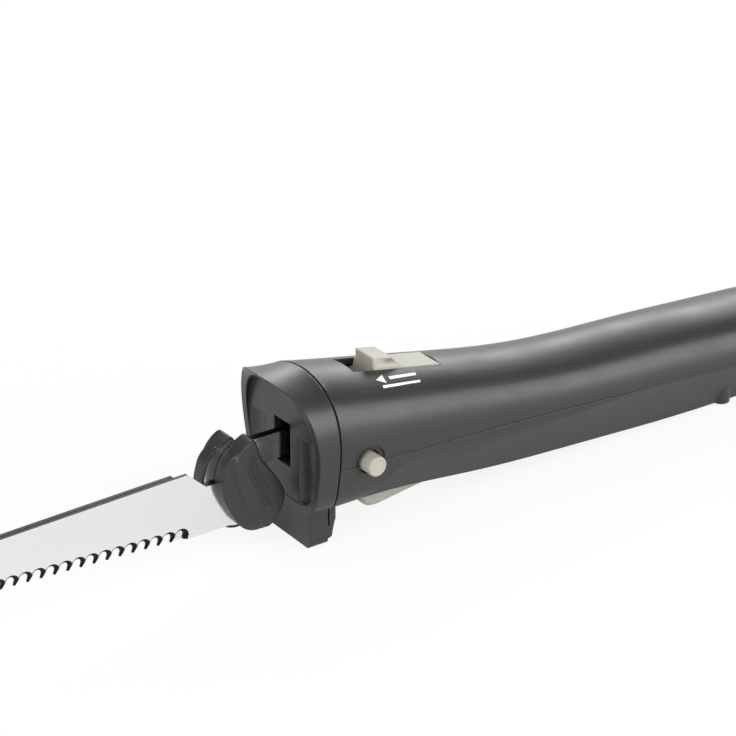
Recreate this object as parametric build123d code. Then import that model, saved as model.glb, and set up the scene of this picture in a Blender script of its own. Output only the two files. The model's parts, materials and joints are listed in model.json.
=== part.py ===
from build123d import *
from math import atan2, cos, degrees, pi, radians, sin
import os

# Electric carving knife, in millimetres.
# X runs forward to the blade tips, Y to the knife's left, Z up. All places are first
# written from the seam between the housing and its front bezel (x = 0), on the knife's
# middle plane (y = 0) and the table (z = 0), and are moved along X at the end so that
# the origin is under the middle of the whole length.

# Housing shell
SEAM_TOP = 62.5
SEAM_BOTTOM = 12.8
SEAM_HALF_WIDTH = 24.5
HOUSING_LENGTH = 240.0
WALL = 2.4
PARTING_Z = 31.8
PARTING_DROP = 15.8
CREASE_FOOT_X = -9.0
CREASE_TOP_X = -38.0
WAIST_TOP_Y = 23.4
WAIST_LOW_Y = 12.6
WAIST_DROP = 3.0
WAIST_HOLLOW = 1.2

# Clearances and one overrun for cuts
FIT_GAP = 0.2
SEAT_GAP = 0.3
SLIDE_GAP = 0.3
SHAFT_GAP = 0.05
PANEL_GAP = 0.3
SEAM_GAP = 0.25
OVERRUN = 20.0

# Front bezel and foot
FOOT_HALF_WIDTH = 16.5
FOOT_FACE_X = 8.0
FOOT_HEIGHT = 12.5
FOOT_ROUND = 2.0
REAR_FOOT_THICKNESS = 3.5
HOOD_REACH = 19.5
HOOD_RISE = 3.0
HOOD_STATION_SHARES = (0, 0.35, 0.7, 1)
LIP_WIDTH = 3.0
BEZEL_WALL = 3.0
SPIGOT_DEPTH = 5.0
SPIGOT_WALL = 1.6
SLOT_WIDTH = 10.0
SLOT_HEIGHT = 16.7
SCOOP_RADIUS = 9.0
SCOOP_DEPTH = 1.5
SCOOP_Y = 15.0
SCOOP_LOW_Z = 17.0
SCOOP_HIGH_Z = 42.0

# Blades
BLADE_AXIS_Z = 36.0
BLADE_THICKNESS = 1.5
BLADE_GAP = 0.2
TANG_HEIGHT = 10.0
TANG_REAR_X = -27.0
TANG_FRONT_X = 32.5
HEEL_X = 50.2
HEEL_TOP_Z = 35.3
NECK_X = 43.0
NECK_TOP_Z = 28.6
BLADE_REAR_X = 23.5
EDGE_Z = 10.7
EDGE_START_X = 52.0
EDGE_RISE = 9.6
SPINE_DROP = 5.4
BLADE_TIP_X = 236.0
TIP_ROUND_LENGTH = 14.0
TIP_TANGENT_SHARES = ((1, 0.15), (-1, 0.1))
TOOTH_PITCH = 5.0
TOOTH_LAND = 0.8
GULLET_DEPTH = 3.4
GULLET_LEAN = 0.9
CROWN_SHARE = 0.8
GRIND_WIDTH = 1.3
EDGE_THICKNESS = 0.35
RIVET_X = 208.0
RIVET_RADIUS = 1.6
RIVET_HEAD_RADIUS = 2.6
RIVET_HEAD_HEIGHT = 0.8

# Bolsters, the finger guards moulded on the blades
GUARD_RIM_Y = 5.6
GUARD_RIM_WALL = 1.0
PAD_BASE_Y = 6.8
PAD_FACE_Y = 7.4
PAD_EDGE = 0.5
PAD_TOP_Z = 44.0
PAD_REAR_X = 14.0
PAD_LENGTH = 25.1
PAD_HEIGHT = 36.0

# Worm drive
STROKE = 7.0
WHEEL_X = -46.0
WHEEL_Z = 34.5
WHEEL_THICKNESS = 6.0
GEAR_MODULE = 0.8
DEDENDUM_SHARE = 1.25
FLANK_SHARE = 0.36
TOOTH_GAP_SHARE = 0.42
WHEEL_TEETH = 24
REST_TEETH = 3
BACKLASH = 0.35
WORM_PITCH_RADIUS = 3.4
WORM_LENGTH = 13.0
SHAFT_RADIUS = 1.6
AXLE_RADIUS = 1.5
CRANK_PIN_RADIUS = 1.8
CRANK_PIN_REACH = 2.4

# Blade drivers
YOKE_FACE_Y = 3.4
YOKE_THICKNESS = 2.0
YOKE_RIM = 3.0
DRIVER_FRONT_X = -6.0
SOCKET_REAR_X = -29.5
SOCKET_WALL = 2.0
SOCKET_LIP = 1.8
STEP_LENGTH = 5.0
LATCH_THICKNESS = 0.6
LATCH_LENGTH = 16.0
LATCH_WIDTH = 3.6
LATCH_TOOTH_LENGTH = 3.0

# Gear frame
FRAME_FACE_Y = 6.4
FRAME_WALL = 2.0
FRAME_TOP_Z = 44.0
FRAME_BOTTOM_Z = 15.0
FRAME_FRONT_FLOOR_Z = 27.0
FRAME_REAR_X = -66.0
FRAME_STEP_X = -34.0
FRAME_FRONT_X = -8.0
GUIDE_X = -20.0
GUIDE_LENGTH = 5.0
BUSH_WALL = 4.0
BUSH_RADIUS = 3.0
BUSH_FLANGE = 0.8

# Motor
MOTOR_FRONT_X = -86.0
MOTOR_LENGTH = 46.0
MOTOR_RADIUS = 13.0
CAN_WALL = 1.0
MAGNET_THICKNESS = 2.6
MAGNET_LENGTH = 30.0
MAGNET_SWEEP = 130.0
ROTOR_RADIUS = 8.4
ROTOR_LENGTH = 24.0
ROTOR_SLOTS = 5
ROTOR_SLOT_WIDTH = 1.8
ROTOR_SLOT_DEPTH = 3.4
WINDING_RADIUS = 7.4
WINDING_LENGTH = 4.0
COMMUTATOR_RADIUS = 3.6
COMMUTATOR_LENGTH = 6.4
COMMUTATOR_BARS = 5
BAR_GAP = 0.5
END_CAP_THICKNESS = 3.0
NECK_BUSH_RADIUS = 4.0
NECK_BUSH_REACH = 3.0
BRUSH_SIZE = 3.0
BRUSH_LENGTH = 6.0
FAN_X = -78.5
FAN_RADIUS = 10.0
FAN_LENGTH = 6.0
FAN_BLADES = 9
FAN_PLATE = 1.2
FAN_HUB_RADIUS = 3.4
FAN_BLADE_THICKNESS = 1.0

# Trigger and its switch
TRIGGER_FRONT_X = -20.0
TRIGGER_PIVOT_X = -68.0
TRIGGER_PIVOT_Z = 11.8
TRIGGER_WIDTH = 12.0
TRIGGER_LOW_Z = 5.0
TRIGGER_BULGE_X = -27.0
TRIGGER_REAR_LOW_Z = 7.8
TRIGGER_TOP_Z = 13.5
TRIGGER_EDGE = 1.2
NOSE_TANGENT_SHARES = ((1, 0), (0.15, 1))
TRIGGER_PIN_RADIUS = 1.25
TRIGGER_LIP_LENGTH = 4.4
TRIGGER_LIP_HEIGHT = 1.8
SWITCH_FRONT_X = -23.0
SWITCH_LENGTH = 9.6
SWITCH_EAR_LENGTH = 6.0
SWITCH_WIDTH = 6.4
SWITCH_BOTTOM_Z = 17.8
SWITCH_HEIGHT = 8.0
PLUNGER_RADIUS = 1.3
PLUNGER_BORE_DEPTH = 6.0
PLUNGER_LENGTH = 5.4
TRIGGER_SPRING_X = -17.4
SPRING_WIRE_RADIUS = 0.35
TRIGGER_SPRING_RADIUS = 2.0
TRIGGER_SPRING_TURNS = 5
BUTTON_SPRING_RADIUS = 2.9
BUTTON_SPRING_TURNS = 4

# Safety slide
SLIDE_SLOT_FRONT_X = -18.0
SLIDE_SLOT_REAR_X = -56.0
SLIDE_SLOT_WIDTH = 13.0
SLIDE_BLOCK_LENGTH = 13.5
SLIDE_BLOCK_HEIGHT = 6.4
SLIDE_BLOCK_WIDTH = 11.2
SLIDE_BLOCK_SLOPE = 4.5
SLIDE_BLOCK_EDGE = 0.9
SLIDE_FRONT_GAP = 9.0
SLIDE_PLATE_THICKNESS = 1.6
SLIDE_PLATE_WIDTH = 16.8
SLIDE_PLATE_DEPTH = 4.0
RETAINER_THICKNESS = 1.2
RETAINER_LENGTH = 16.0
RETAINER_RIB = 1.4

# Blade release buttons
BUTTON_X = -12.8
BUTTON_Z = 31.6
BUTTON_RADIUS = 4.2
BUTTON_FACE_Y = 28.6
BUTTON_FLANGE_RADIUS = 5.5
BUTTON_FLANGE_THICKNESS = 1.6
BUTTON_FLANGE_Y = 17.8
BUTTON_STEM_RADIUS = 1.8
BUTTON_STEM_END_Y = 9.0
BUTTON_EDGE = 0.5
BUTTON_DISH_RADIUS = 6.2
BUTTON_DISH_Y = 23.1

# Screws, cord entry and rectifier
SCREW_X_FRONT = -70.0
SCREW_X_REAR = -190.0
SCREW_Y = 12.0
SCREW_RADIUS = 1.45
SCREW_HEAD_RADIUS = 2.8
SCREW_HEAD_HEIGHT = 1.8
SCREW_RECESS = 6.0
SCREW_GRIP = 9.0
BOSS_RADIUS = 3.0
SADDLE_THICKNESS = 3.0
SADDLE_MARGIN = 6.0
CORD_HOLE_RADIUS = 3.5
GLAND_RADIUS = 6.0
GLAND_HEAD_RADIUS = 7.6
GLAND_TIP_RADIUS = 5.2
GLAND_REACH = 9.0
GLAND_INNER_LENGTH = 5.0
GLAND_Z = 17.5
CLAMP_X = -222.0
CLAMP_LENGTH = 7.0
CLAMP_THICKNESS = 2.6
CLAMP_POST_Y = 9.0
CLAMP_POST_RADIUS = 2.6
CLAMP_SCREW_RADIUS = 1.1
CLAMP_SCREW_HEAD_RADIUS = 2.0
CLAMP_SCREW_HEAD_HEIGHT = 1.4
BOARD_FRONT_X = -146.0
BOARD_LENGTH = 34.0
BOARD_WIDTH = 24.0
BOARD_THICKNESS = 1.6
BOARD_Z = 12.0
DIODE_RADIUS = 1.3
DIODE_LENGTH = 5.0
DIODE_COUNT = 4
CAPACITOR_SIZE = 10.0
CAPACITOR_HEIGHT = 8.0

# Stations of the housing from the seam to the tail: share of its length, then of the seam's top
# height, bottom height and half width
STATION_SHARES = (
    (0.0, 1.0, 1.0, 1.0),
    (0.075, 0.9376, 0.985, 0.985),
    (0.1542, 0.8784, 0.86, 0.945),
    (0.2333, 0.8192, 0.66, 0.90),
    (0.375, 0.72, 0.39, 0.85),
    (0.5625, 0.656, 0.19, 0.85),
    (0.75, 0.616, 0.06, 0.875),
    (0.9, 0.58, 0.0, 0.865),
    (1.0, 0.50, 0.10, 0.78),
)

# One side of the housing's section, from top centre to bottom centre: shares of its half width and
# of its depth below the top
SECTION_SHARES = (
    (0.0, 0.0),
    (0.42, 0.033),
    (0.81, 0.155),
    (1.0, 0.45),
    (0.93, 0.74),
    (0.76, 0.95),
    (0.48, 1.0),
    (0.0, 1.0),
)

# Front edge of the hood seen from the side: shares of its reach in front of the foot's face, and of
# the height from the foot's top to the hood's top
HOOD_SHARES = (
    (0.0, 0.0),
    (0.03, 0.36),
    (0.16, 0.67),
    (0.42, 0.86),
    (0.78, 0.96),
    (1.0, 1.0),
)

# Outline of the bolster beside the blade, seen from the side: shares of its length ahead of its
# rearmost point and of its height below its top
GUARD_SHARES = (
    (0.53, 0.011),
    (0.633, 0.044),
    (0.781, 0.117),
    (0.892, 0.194),
    (0.952, 0.3),
    (0.985, 0.4),
    (0.985, 0.5),
    (0.95, 0.595),
    (0.893, 0.69),
    (0.789, 0.825),
    (0.673, 0.936),
    (0.538, 0.989),
    (0.378, 1.0),
    (0.219, 0.961),
    (0.095, 0.87),
    (0.018, 0.76),
    (0.012, 0.65),
    (0.088, 0.53),
    (0.24, 0.36),
    (0.4, 0.178),
)

# The same for the face of its finger pad, in shares of the same length and height
PAD_SHARES = (
    (0.55, 0.006),
    (0.625, 0.034),
    (0.715, 0.09),
    (0.783, 0.157),
    (0.813, 0.24),
    (0.812, 0.335),
    (0.785, 0.43),
    (0.745, 0.53),
    (0.69, 0.635),
    (0.6, 0.755),
    (0.505, 0.875),
    (0.41, 0.955),
    (0.3, 0.982),
    (0.207, 0.948),
    (0.105, 0.865),
    (0.03, 0.757),
    (0.022, 0.65),
    (0.096, 0.53),
    (0.247, 0.36),
    (0.407, 0.18),
)

# Sizes that follow from those above
wheel_pitch_radius = GEAR_MODULE * WHEEL_TEETH / 2
wheel_tip_radius = wheel_pitch_radius + GEAR_MODULE
wheel_root_radius = wheel_pitch_radius - DEDENDUM_SHARE * GEAR_MODULE
worm_lead = pi * GEAR_MODULE
worm_tip_radius = WORM_PITCH_RADIUS + GEAR_MODULE
worm_root_radius = WORM_PITCH_RADIUS - DEDENDUM_SHARE * GEAR_MODULE
crank_radius = STROKE / 2
rest_turn = 360 * REST_TEETH / WHEEL_TEETH
rest_shift = crank_radius * sin(radians(rest_turn))
motor_z = WHEEL_Z - wheel_pitch_radius - WORM_PITCH_RADIUS
motor_rear_x = MOTOR_FRONT_X - MOTOR_LENGTH
blade_inner_y = BLADE_GAP / 2
blade_outer_y = blade_inner_y + BLADE_THICKNESS
driver_wall_y = blade_outer_y + FIT_GAP
frame_outer_y = FRAME_FACE_Y + FRAME_WALL
trigger_half_width = TRIGGER_WIDTH / 2
tail_x = -HOUSING_LENGTH
gland_end_x = tail_x - GLAND_REACH
x_origin = (BLADE_TIP_X + rest_shift + gland_end_x) / 2


def block(x0, x1, y0, y1, z0, z1):
    """Block between six faces."""
    middle = Pos((x0 + x1) / 2, (y0 + y1) / 2, (z0 + z1) / 2)
    return middle * Box(x1 - x0, y1 - y0, z1 - z0)


def rod_x(x0, x1, radius, y, z):
    """Round bar along X."""
    return Pos((x0 + x1) / 2, y, z) * Rot(0, 90, 0) * Cylinder(radius, x1 - x0)


def rod_y(y0, y1, radius, x, z):
    """Round bar along Y."""
    return Pos(x, (y0 + y1) / 2, z) * Rot(90, 0, 0) * Cylinder(radius, y1 - y0)


def rod_z(z0, z1, radius, x, y):
    """Round bar along Z."""
    return Pos(x, y, (z0 + z1) / 2) * Cylinder(radius, z1 - z0)


def side_plate(outline, y0, y1):
    """Outline drawn in X and Z, made a plate between two faces across Y."""
    plane = Plane(origin=(0, y1, 0), x_dir=(1, 0, 0), z_dir=(0, -1, 0))
    return extrude(plane * outline, amount=y1 - y0)


def mirrored(shape):
    """The same shape on the knife's other side."""
    return mirror(shape, about=Plane.XZ)


def both_sides(shape):
    """A shape together with its mirror image."""
    return shape + mirrored(shape)


def between(table, share):
    """Values of a table of shares at one share of the length, on straight lines between its rows."""
    for low, high in zip(table, table[1:]):
        if share <= high[0]:
            part = (share - low[0]) / (high[0] - low[0])
            return [a + part * (b - a) for a, b in zip(low[1:], high[1:])]
    return list(table[-1][1:])


def top_at(x):
    """Height of the housing's top line."""
    return SEAM_TOP * between(STATION_SHARES, -x / HOUSING_LENGTH)[0]


def bottom_at(x):
    """Height of the housing's underside."""
    return SEAM_BOTTOM * between(STATION_SHARES, -x / HOUSING_LENGTH)[1]


def parting_at(x):
    """Height of the joint between the housing's halves."""
    return PARTING_Z + PARTING_DROP * x / HOUSING_LENGTH


def section(x, top, bottom, half_width):
    """The housing's closed section across X."""
    depth = top - bottom
    right = [(half_width * w, top - depth * d) for w, d in SECTION_SHARES]
    left = [(-y, z) for y, z in reversed(right[1:-1])]
    plane = Plane(origin=(x, 0, 0), x_dir=(0, 1, 0), z_dir=(1, 0, 0))
    return plane * make_face(Spline(*right, *left, periodic=True))


def housing_loft(inset):
    """The housing's outer form, drawn in by an inset all round."""
    faces = []
    for length_share, top_share, bottom_share, width_share in STATION_SHARES:
        x = -HOUSING_LENGTH * length_share
        if length_share == 1 and inset:
            x = x + inset
        top = SEAM_TOP * top_share - inset
        bottom = SEAM_BOTTOM * bottom_share + inset
        faces.append(section(x, top, bottom, SEAM_HALF_WIDTH * width_share - inset))
    return loft(faces)


def wedge_below_parting(lift):
    """Space under the joint of the housing's halves, its top lifted by a gap."""
    rear = tail_x - OVERRUN
    front = OVERRUN
    outline = Polygon(
        (rear, parting_at(rear) + lift),
        (rear, -OVERRUN),
        (front, -OVERRUN),
        (front, parting_at(front) + lift),
        align=None,
    )
    reach = SEAM_HALF_WIDTH + OVERRUN
    return side_plate(outline, -reach, reach)


def waist_cut(shift):
    """Space drawn in from the lower housing's sides behind a slanted crease, for the fingers."""
    high = parting_at(CREASE_TOP_X) - WALL / 2
    low = -WAIST_DROP
    reach = SEAM_HALF_WIDTH + OVERRUN
    top = (WAIST_TOP_Y - shift, high)
    foot = (WAIST_LOW_Y - shift, low)
    hollow = ((WAIST_TOP_Y + WAIST_LOW_Y) / 2 - shift - WAIST_HOLLOW, (high + low) / 2)
    outline = (
        ThreePointArc(top, hollow, foot)
        + Line(foot, (reach, low))
        + Line((reach, low), (reach, high))
        + Line((reach, high), top)
    )
    rear = tail_x - OVERRUN
    plane = Plane(origin=(rear, 0, 0), x_dir=(0, 1, 0), z_dir=(1, 0, 0))
    side = extrude(plane * make_face(outline), amount=-rear)
    slope = (CREASE_TOP_X - CREASE_FOOT_X) / (PARTING_Z - SEAM_BOTTOM)
    behind = Polygon(
        (rear, low),
        (CREASE_FOOT_X + slope * (low - SEAM_BOTTOM) - shift, low),
        (CREASE_FOOT_X + slope * (high - SEAM_BOTTOM) - shift, high),
        (rear, high),
        align=None,
    )
    return both_sides(side & side_plate(behind, 0, reach))


def button_cut():
    """Holes and shallow dishes for the two release buttons."""
    reach = SEAM_HALF_WIDTH + OVERRUN
    inside = BUTTON_FLANGE_Y
    hole = rod_y(inside, reach, BUTTON_RADIUS + SLIDE_GAP, BUTTON_X, BUTTON_Z)
    dish = rod_y(BUTTON_DISH_Y, reach, BUTTON_DISH_RADIUS, BUTTON_X, BUTTON_Z)
    return both_sides(hole + dish)


def slide_frame():
    """Place and slope of the safety slide's slot in the top."""
    middle = (SLIDE_SLOT_FRONT_X + SLIDE_SLOT_REAR_X) / 2
    rise = top_at(SLIDE_SLOT_FRONT_X) - top_at(SLIDE_SLOT_REAR_X)
    slope = degrees(atan2(rise, SLIDE_SLOT_FRONT_X - SLIDE_SLOT_REAR_X))
    return Pos(middle, 0, top_at(middle)) * Rot(0, -slope, 0), slope


def slide_slot_half():
    """Half the slot's length along its own slope."""
    slope = slide_frame()[1]
    return (SLIDE_SLOT_FRONT_X - SLIDE_SLOT_REAR_X) / 2 / cos(radians(slope))


def screw_places():
    """Where the four housing screws stand."""
    return [(x, y) for x in (SCREW_X_FRONT, SCREW_X_REAR) for y in (-SCREW_Y, SCREW_Y)]


def gland_hole():
    """Round hole through the tail wall for the cord gland."""
    return rod_x(tail_x - OVERRUN, tail_x + WALL + OVERRUN, GLAND_RADIUS, 0, GLAND_Z)


def make_upper_housing():
    """Upper shell with its slide slot, screw bosses and slide ribs."""
    frame = slide_frame()[0]
    half = slide_slot_half()
    slot = block(-half, half, -SLIDE_SLOT_WIDTH / 2, SLIDE_SLOT_WIDTH / 2, -OVERRUN / 2, OVERRUN)
    rib_inner = SLIDE_PLATE_WIDTH / 2 + SLIDE_GAP
    rib_low = -SLIDE_PLATE_DEPTH - SLIDE_PLATE_THICKNESS - SLIDE_GAP
    rib = block(
        -RETAINER_LENGTH / 2, RETAINER_LENGTH / 2, rib_inner, rib_inner + RETAINER_RIB, rib_low, WALL
    )
    solid_places = [frame * rib, frame * mirrored(rib)]
    cuts = [wedge_below_parting(SEAM_GAP), frame * slot, button_cut(), gland_hole()]
    for x, y in screw_places():
        low = parting_at(x)
        solid_places.append(rod_z(low - BOSS_RADIUS, SEAM_TOP, BOSS_RADIUS, x, y))
        cuts.append(rod_z(low - BOSS_RADIUS, low + SCREW_GRIP + WALL, SCREW_RADIUS, x, y))
    cavity = housing_loft(WALL) - solid_places
    return housing_loft(0) - cavity - cuts


def make_lower_housing():
    """Lower shell with its foot, trigger slot, screw bosses, posts and motor saddles."""
    foot = block(
        -REAR_FOOT_THICKNESS, 0, -FOOT_HALF_WIDTH, FOOT_HALF_WIDTH, 0, SEAM_BOTTOM + WALL / 2
    )
    foot = fillet(foot.edges().filter_by(Axis.X).group_by(Axis.Z)[0], radius=FOOT_ROUND)
    foot = fillet(foot.edges().group_by(Axis.Z)[0].group_by(Axis.X)[0], radius=FOOT_ROUND / 2)
    slot_half = trigger_half_width + SLIDE_GAP
    solid_places = [waist_cut(WALL)]
    for x in (FRAME_REAR_X + BUSH_WALL / 2, FRAME_STEP_X - BUSH_WALL / 2):
        post = block(
            x - BUSH_WALL / 2, x + BUSH_WALL / 2, slot_half, frame_outer_y, 0, FRAME_BOTTOM_Z
        )
        solid_places += [post, mirrored(post)]
    bed = rod_x(motor_rear_x, MOTOR_FRONT_X, MOTOR_RADIUS + FIT_GAP, 0, motor_z)
    for x in (MOTOR_FRONT_X - SADDLE_MARGIN, motor_rear_x + SADDLE_MARGIN):
        half = SADDLE_THICKNESS / 2
        saddle = block(x - half, x + half, -MOTOR_RADIUS, MOTOR_RADIUS, 0, motor_z)
        solid_places.append(saddle - bed)
    for x in (BOARD_FRONT_X - WALL, BOARD_FRONT_X - BOARD_LENGTH + WALL):
        half = WALL / 2
        solid_places.append(
            block(x - half, x + half, -BOARD_WIDTH / 2, BOARD_WIDTH / 2, 0, BOARD_Z)
        )
    ear = side_plate(
        Pos(TRIGGER_PIVOT_X, TRIGGER_PIVOT_Z) * Circle(TRIGGER_PIN_RADIUS + WALL / 2)
        + Pos(TRIGGER_PIVOT_X, TRIGGER_PIVOT_Z / 2)
        * Rectangle(2 * TRIGGER_PIN_RADIUS + WALL, TRIGGER_PIVOT_Z),
        slot_half,
        slot_half + WALL,
    )
    solid_places += [ear, mirrored(ear)]
    reach = SEAM_HALF_WIDTH
    table = block(tail_x - OVERRUN, 0, -reach, reach, -OVERRUN, 0)
    cuts = [button_cut(), gland_hole(), waist_cut(0), table]
    for x, y in screw_places():
        floor = bottom_at(x) + SCREW_RECESS
        boss_top = parting_at(x) - BOSS_RADIUS
        solid_places.append(rod_z(-OVERRUN, boss_top, BOSS_RADIUS, x, y))
        cuts.append(rod_z(-OVERRUN, floor, SCREW_HEAD_RADIUS + FIT_GAP, x, y))
        cuts.append(rod_z(floor, boss_top, SCREW_RADIUS + FIT_GAP, x, y))
    for y in (-CLAMP_POST_Y, CLAMP_POST_Y):
        post_top = GLAND_Z - CORD_HOLE_RADIUS
        solid_places.append(rod_z(0, post_top, CLAMP_POST_RADIUS, CLAMP_X, y))
        low = post_top - SCREW_GRIP / 2
        cuts.append(rod_z(low, post_top, CLAMP_SCREW_RADIUS, CLAMP_X, y))
    slot_rear = TRIGGER_PIVOT_X - TRIGGER_PIN_RADIUS - WALL
    slot_front = TRIGGER_FRONT_X + PANEL_GAP
    cuts.append(block(slot_rear, slot_front, -slot_half, slot_half, 0, FRAME_BOTTOM_Z))
    cuts.append(
        rod_y(
            -slot_half - WALL,
            slot_half + WALL,
            TRIGGER_PIN_RADIUS,
            TRIGGER_PIVOT_X,
            TRIGGER_PIVOT_Z,
        )
    )
    cavity = housing_loft(WALL) - solid_places
    return ((housing_loft(0) & wedge_below_parting(0)) - cavity + foot) - cuts


def hood_profile():
    """Side view of the bezel's space: straight at the foot, sweeping forward to the hood's brow."""
    top = SEAM_TOP + HOOD_RISE
    reach = HOOD_REACH - FOOT_FACE_X
    height = top - FOOT_HEIGHT
    points = [(FOOT_FACE_X + reach * r, FOOT_HEIGHT + height * h) for r, h in HOOD_SHARES]
    high = top + OVERRUN
    edge = Spline(*points)
    lines = Line((-OVERRUN, -OVERRUN), (FOOT_FACE_X, -OVERRUN))
    lines = lines + Line((FOOT_FACE_X, -OVERRUN), points[0]) + edge
    lines = lines + Line(points[-1], (HOOD_REACH, high))
    lines = lines + Line((HOOD_REACH, high), (-OVERRUN, high))
    lines = lines + Line((-OVERRUN, high), (-OVERRUN, -OVERRUN))
    return make_face(lines)


def bezel_loft(inset):
    """The bezel's outer form, rising towards its brow, drawn in by an inset."""
    faces = []
    for share in HOOD_STATION_SHARES:
        top = SEAM_TOP + HOOD_RISE * share * share - inset
        faces.append(section(HOOD_REACH * share, top, SEAM_BOTTOM + inset, SEAM_HALF_WIDTH - inset))
    return loft(faces)


def make_front_bezel():
    """Hooded front cover with the blade slot, the foot and a spigot that enters the housing."""
    reach = SEAM_HALF_WIDTH + OVERRUN
    foot = block(0, FOOT_FACE_X, -FOOT_HALF_WIDTH, FOOT_HALF_WIDTH, 0, SEAM_BOTTOM + LIP_WIDTH)
    foot = fillet(foot.edges().filter_by(Axis.X).group_by(Axis.Z)[0], radius=FOOT_ROUND)
    hood = bezel_loft(0) & side_plate(hood_profile(), -reach, reach)
    scoop_x = FOOT_FACE_X + SCOOP_RADIUS - SCOOP_DEPTH
    scoop = rod_z(SCOOP_LOW_Z, SCOOP_HIGH_Z, SCOOP_RADIUS, scoop_x, SCOOP_Y)
    front = block(FOOT_FACE_X, HOOD_REACH + OVERRUN, -reach, reach, 0, SEAM_TOP + OVERRUN)
    pocket = bezel_loft(LIP_WIDTH) & (front + both_sides(scoop))
    depth = FOOT_FACE_X - BEZEL_WALL
    wall = WALL + FIT_GAP + SPIGOT_WALL
    inner = section(0, SEAM_TOP - wall, SEAM_BOTTOM + wall, SEAM_HALF_WIDTH - wall)
    hollow = extrude(inner, amount=depth)
    core_half = FOOT_HALF_WIDTH - WALL
    core = block(0, depth, -core_half, core_half, WALL, SEAM_BOTTOM)
    half_height = SLOT_HEIGHT / 2
    slot = block(
        -OVERRUN,
        HOOD_REACH + OVERRUN,
        -SLOT_WIDTH / 2,
        SLOT_WIDTH / 2,
        BLADE_AXIS_Z - half_height,
        BLADE_AXIS_Z + half_height,
    )
    ring = housing_loft(WALL + FIT_GAP) & block(-SPIGOT_DEPTH, 0, -reach, reach, 0, SEAM_TOP)
    spigot = ring - housing_loft(wall)
    rim = WALL + FIT_GAP
    inside = section(0, SEAM_TOP - rim, SEAM_BOTTOM + rim, SEAM_HALF_WIDTH - rim)
    joint = block(-SPIGOT_DEPTH, SEAM_GAP, -reach, reach, 0, SEAM_TOP + OVERRUN)
    joint = joint - extrude(inside, amount=SEAM_GAP)
    return hood + foot - [pocket, hollow, core, slot, joint] + spigot


def edge_z(x):
    """Height of the tooth tips, rising towards the blade's tip."""
    return EDGE_Z + EDGE_RISE * (x - EDGE_START_X) / (BLADE_TIP_X - EDGE_START_X)


def spine_z(x):
    """Height of the spine, falling towards the blade's tip."""
    return HEEL_TOP_Z - SPINE_DROP * (x - HEEL_X) / (BLADE_TIP_X - HEEL_X)


def blade_outline():
    """Blade, its shoulder in the bolster and its tang seen from the side, with a rounded tip."""
    half = TANG_HEIGHT / 2
    bend = BLADE_TIP_X - TIP_ROUND_LENGTH
    low = (BLADE_REAR_X, EDGE_Z + GULLET_DEPTH)
    points = [
        (bend, spine_z(bend)),
        (HEEL_X, HEEL_TOP_Z),
        (NECK_X, NECK_TOP_Z),
        (TANG_FRONT_X, NECK_TOP_Z),
        (TANG_FRONT_X, BLADE_AXIS_Z + half),
        (TANG_REAR_X, BLADE_AXIS_Z + half),
        (TANG_REAR_X, BLADE_AXIS_Z - half),
        (BLADE_REAR_X, BLADE_AXIS_Z - half),
        low,
        (BLADE_REAR_X + GULLET_DEPTH, EDGE_Z),
        (EDGE_START_X, EDGE_Z),
        (bend, edge_z(bend)),
    ]
    lines = Polyline(*points)
    tip = Spline(
        points[-1],
        (BLADE_TIP_X, spine_z(BLADE_TIP_X) - TIP_ROUND_LENGTH / 5),
        points[0],
        tangents=TIP_TANGENT_SHARES,
    )
    return make_face(lines + tip) + bolster_outline(GUARD_SHARES, GUARD_RIM_WALL)


def gullet(grow):
    """One gullet between two teeth, a leaning arch open at the edge, widened by the grind."""
    half = (TOOTH_PITCH - TOOTH_LAND) / 2
    crown = half * CROWN_SHARE + grow
    half = half + grow
    rise = GULLET_DEPTH + grow - crown
    arch = (
        Line((-half, -GULLET_DEPTH), (half, -GULLET_DEPTH))
        + Line((half, -GULLET_DEPTH), (half, 0))
        + Line((half, 0), (crown - GULLET_LEAN, rise))
        + ThreePointArc(
            (crown - GULLET_LEAN, rise),
            (-GULLET_LEAN, GULLET_DEPTH + grow),
            (-crown - GULLET_LEAN, rise),
        )
        + Line((-crown - GULLET_LEAN, rise), (-half, 0))
        + Line((-half, 0), (-half, -GULLET_DEPTH))
    )
    return make_face(arch)


def gullet_places():
    """Middle of each gullet along the edge."""
    count = int((BLADE_TIP_X - TIP_ROUND_LENGTH - EDGE_START_X) / TOOTH_PITCH)
    return [EDGE_START_X + TOOTH_PITCH * (n + 0.5) for n in range(count)]


def make_blade_left():
    """Left blade: flat against its twin, each gullet ground from outside to a thin edge."""
    tilt = degrees(atan2(EDGE_RISE, BLADE_TIP_X - EDGE_START_X))
    outer = Plane(origin=(0, blade_outer_y, 0), x_dir=(1, 0, 0), z_dir=(0, -1, 0))
    inner = Plane(origin=(0, blade_inner_y + EDGE_THICKNESS, 0), x_dir=(1, 0, 0), z_dir=(0, -1, 0))
    cuts = []
    for x in gullet_places():
        place = Pos(x, edge_z(x)) * Rot(0, 0, tilt)
        cuts.append(loft([outer * place * gullet(GRIND_WIDTH), inner * place * gullet(0)], ruled=True))
    outline = blade_outline()
    for x in gullet_places():
        outline = outline - Pos(x, edge_z(x)) * Rot(0, 0, tilt) * gullet(0)
    return side_plate(outline, blade_inner_y, blade_outer_y) - cuts


def rivet_z():
    """Height of the rivet, midway between edge and spine."""
    return (edge_z(RIVET_X) + GULLET_DEPTH + spine_z(RIVET_X)) / 2


def make_blade_rivet():
    """Headed rivet fixed in the left blade, sliding in the right blade's slot."""
    far = -blade_outer_y - FIT_GAP
    shank = rod_y(far, blade_outer_y, RIVET_RADIUS, RIVET_X, rivet_z())
    head = rod_y(far - RIVET_HEAD_HEIGHT, far, RIVET_HEAD_RADIUS, RIVET_X, rivet_z())
    return shank + head


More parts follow.
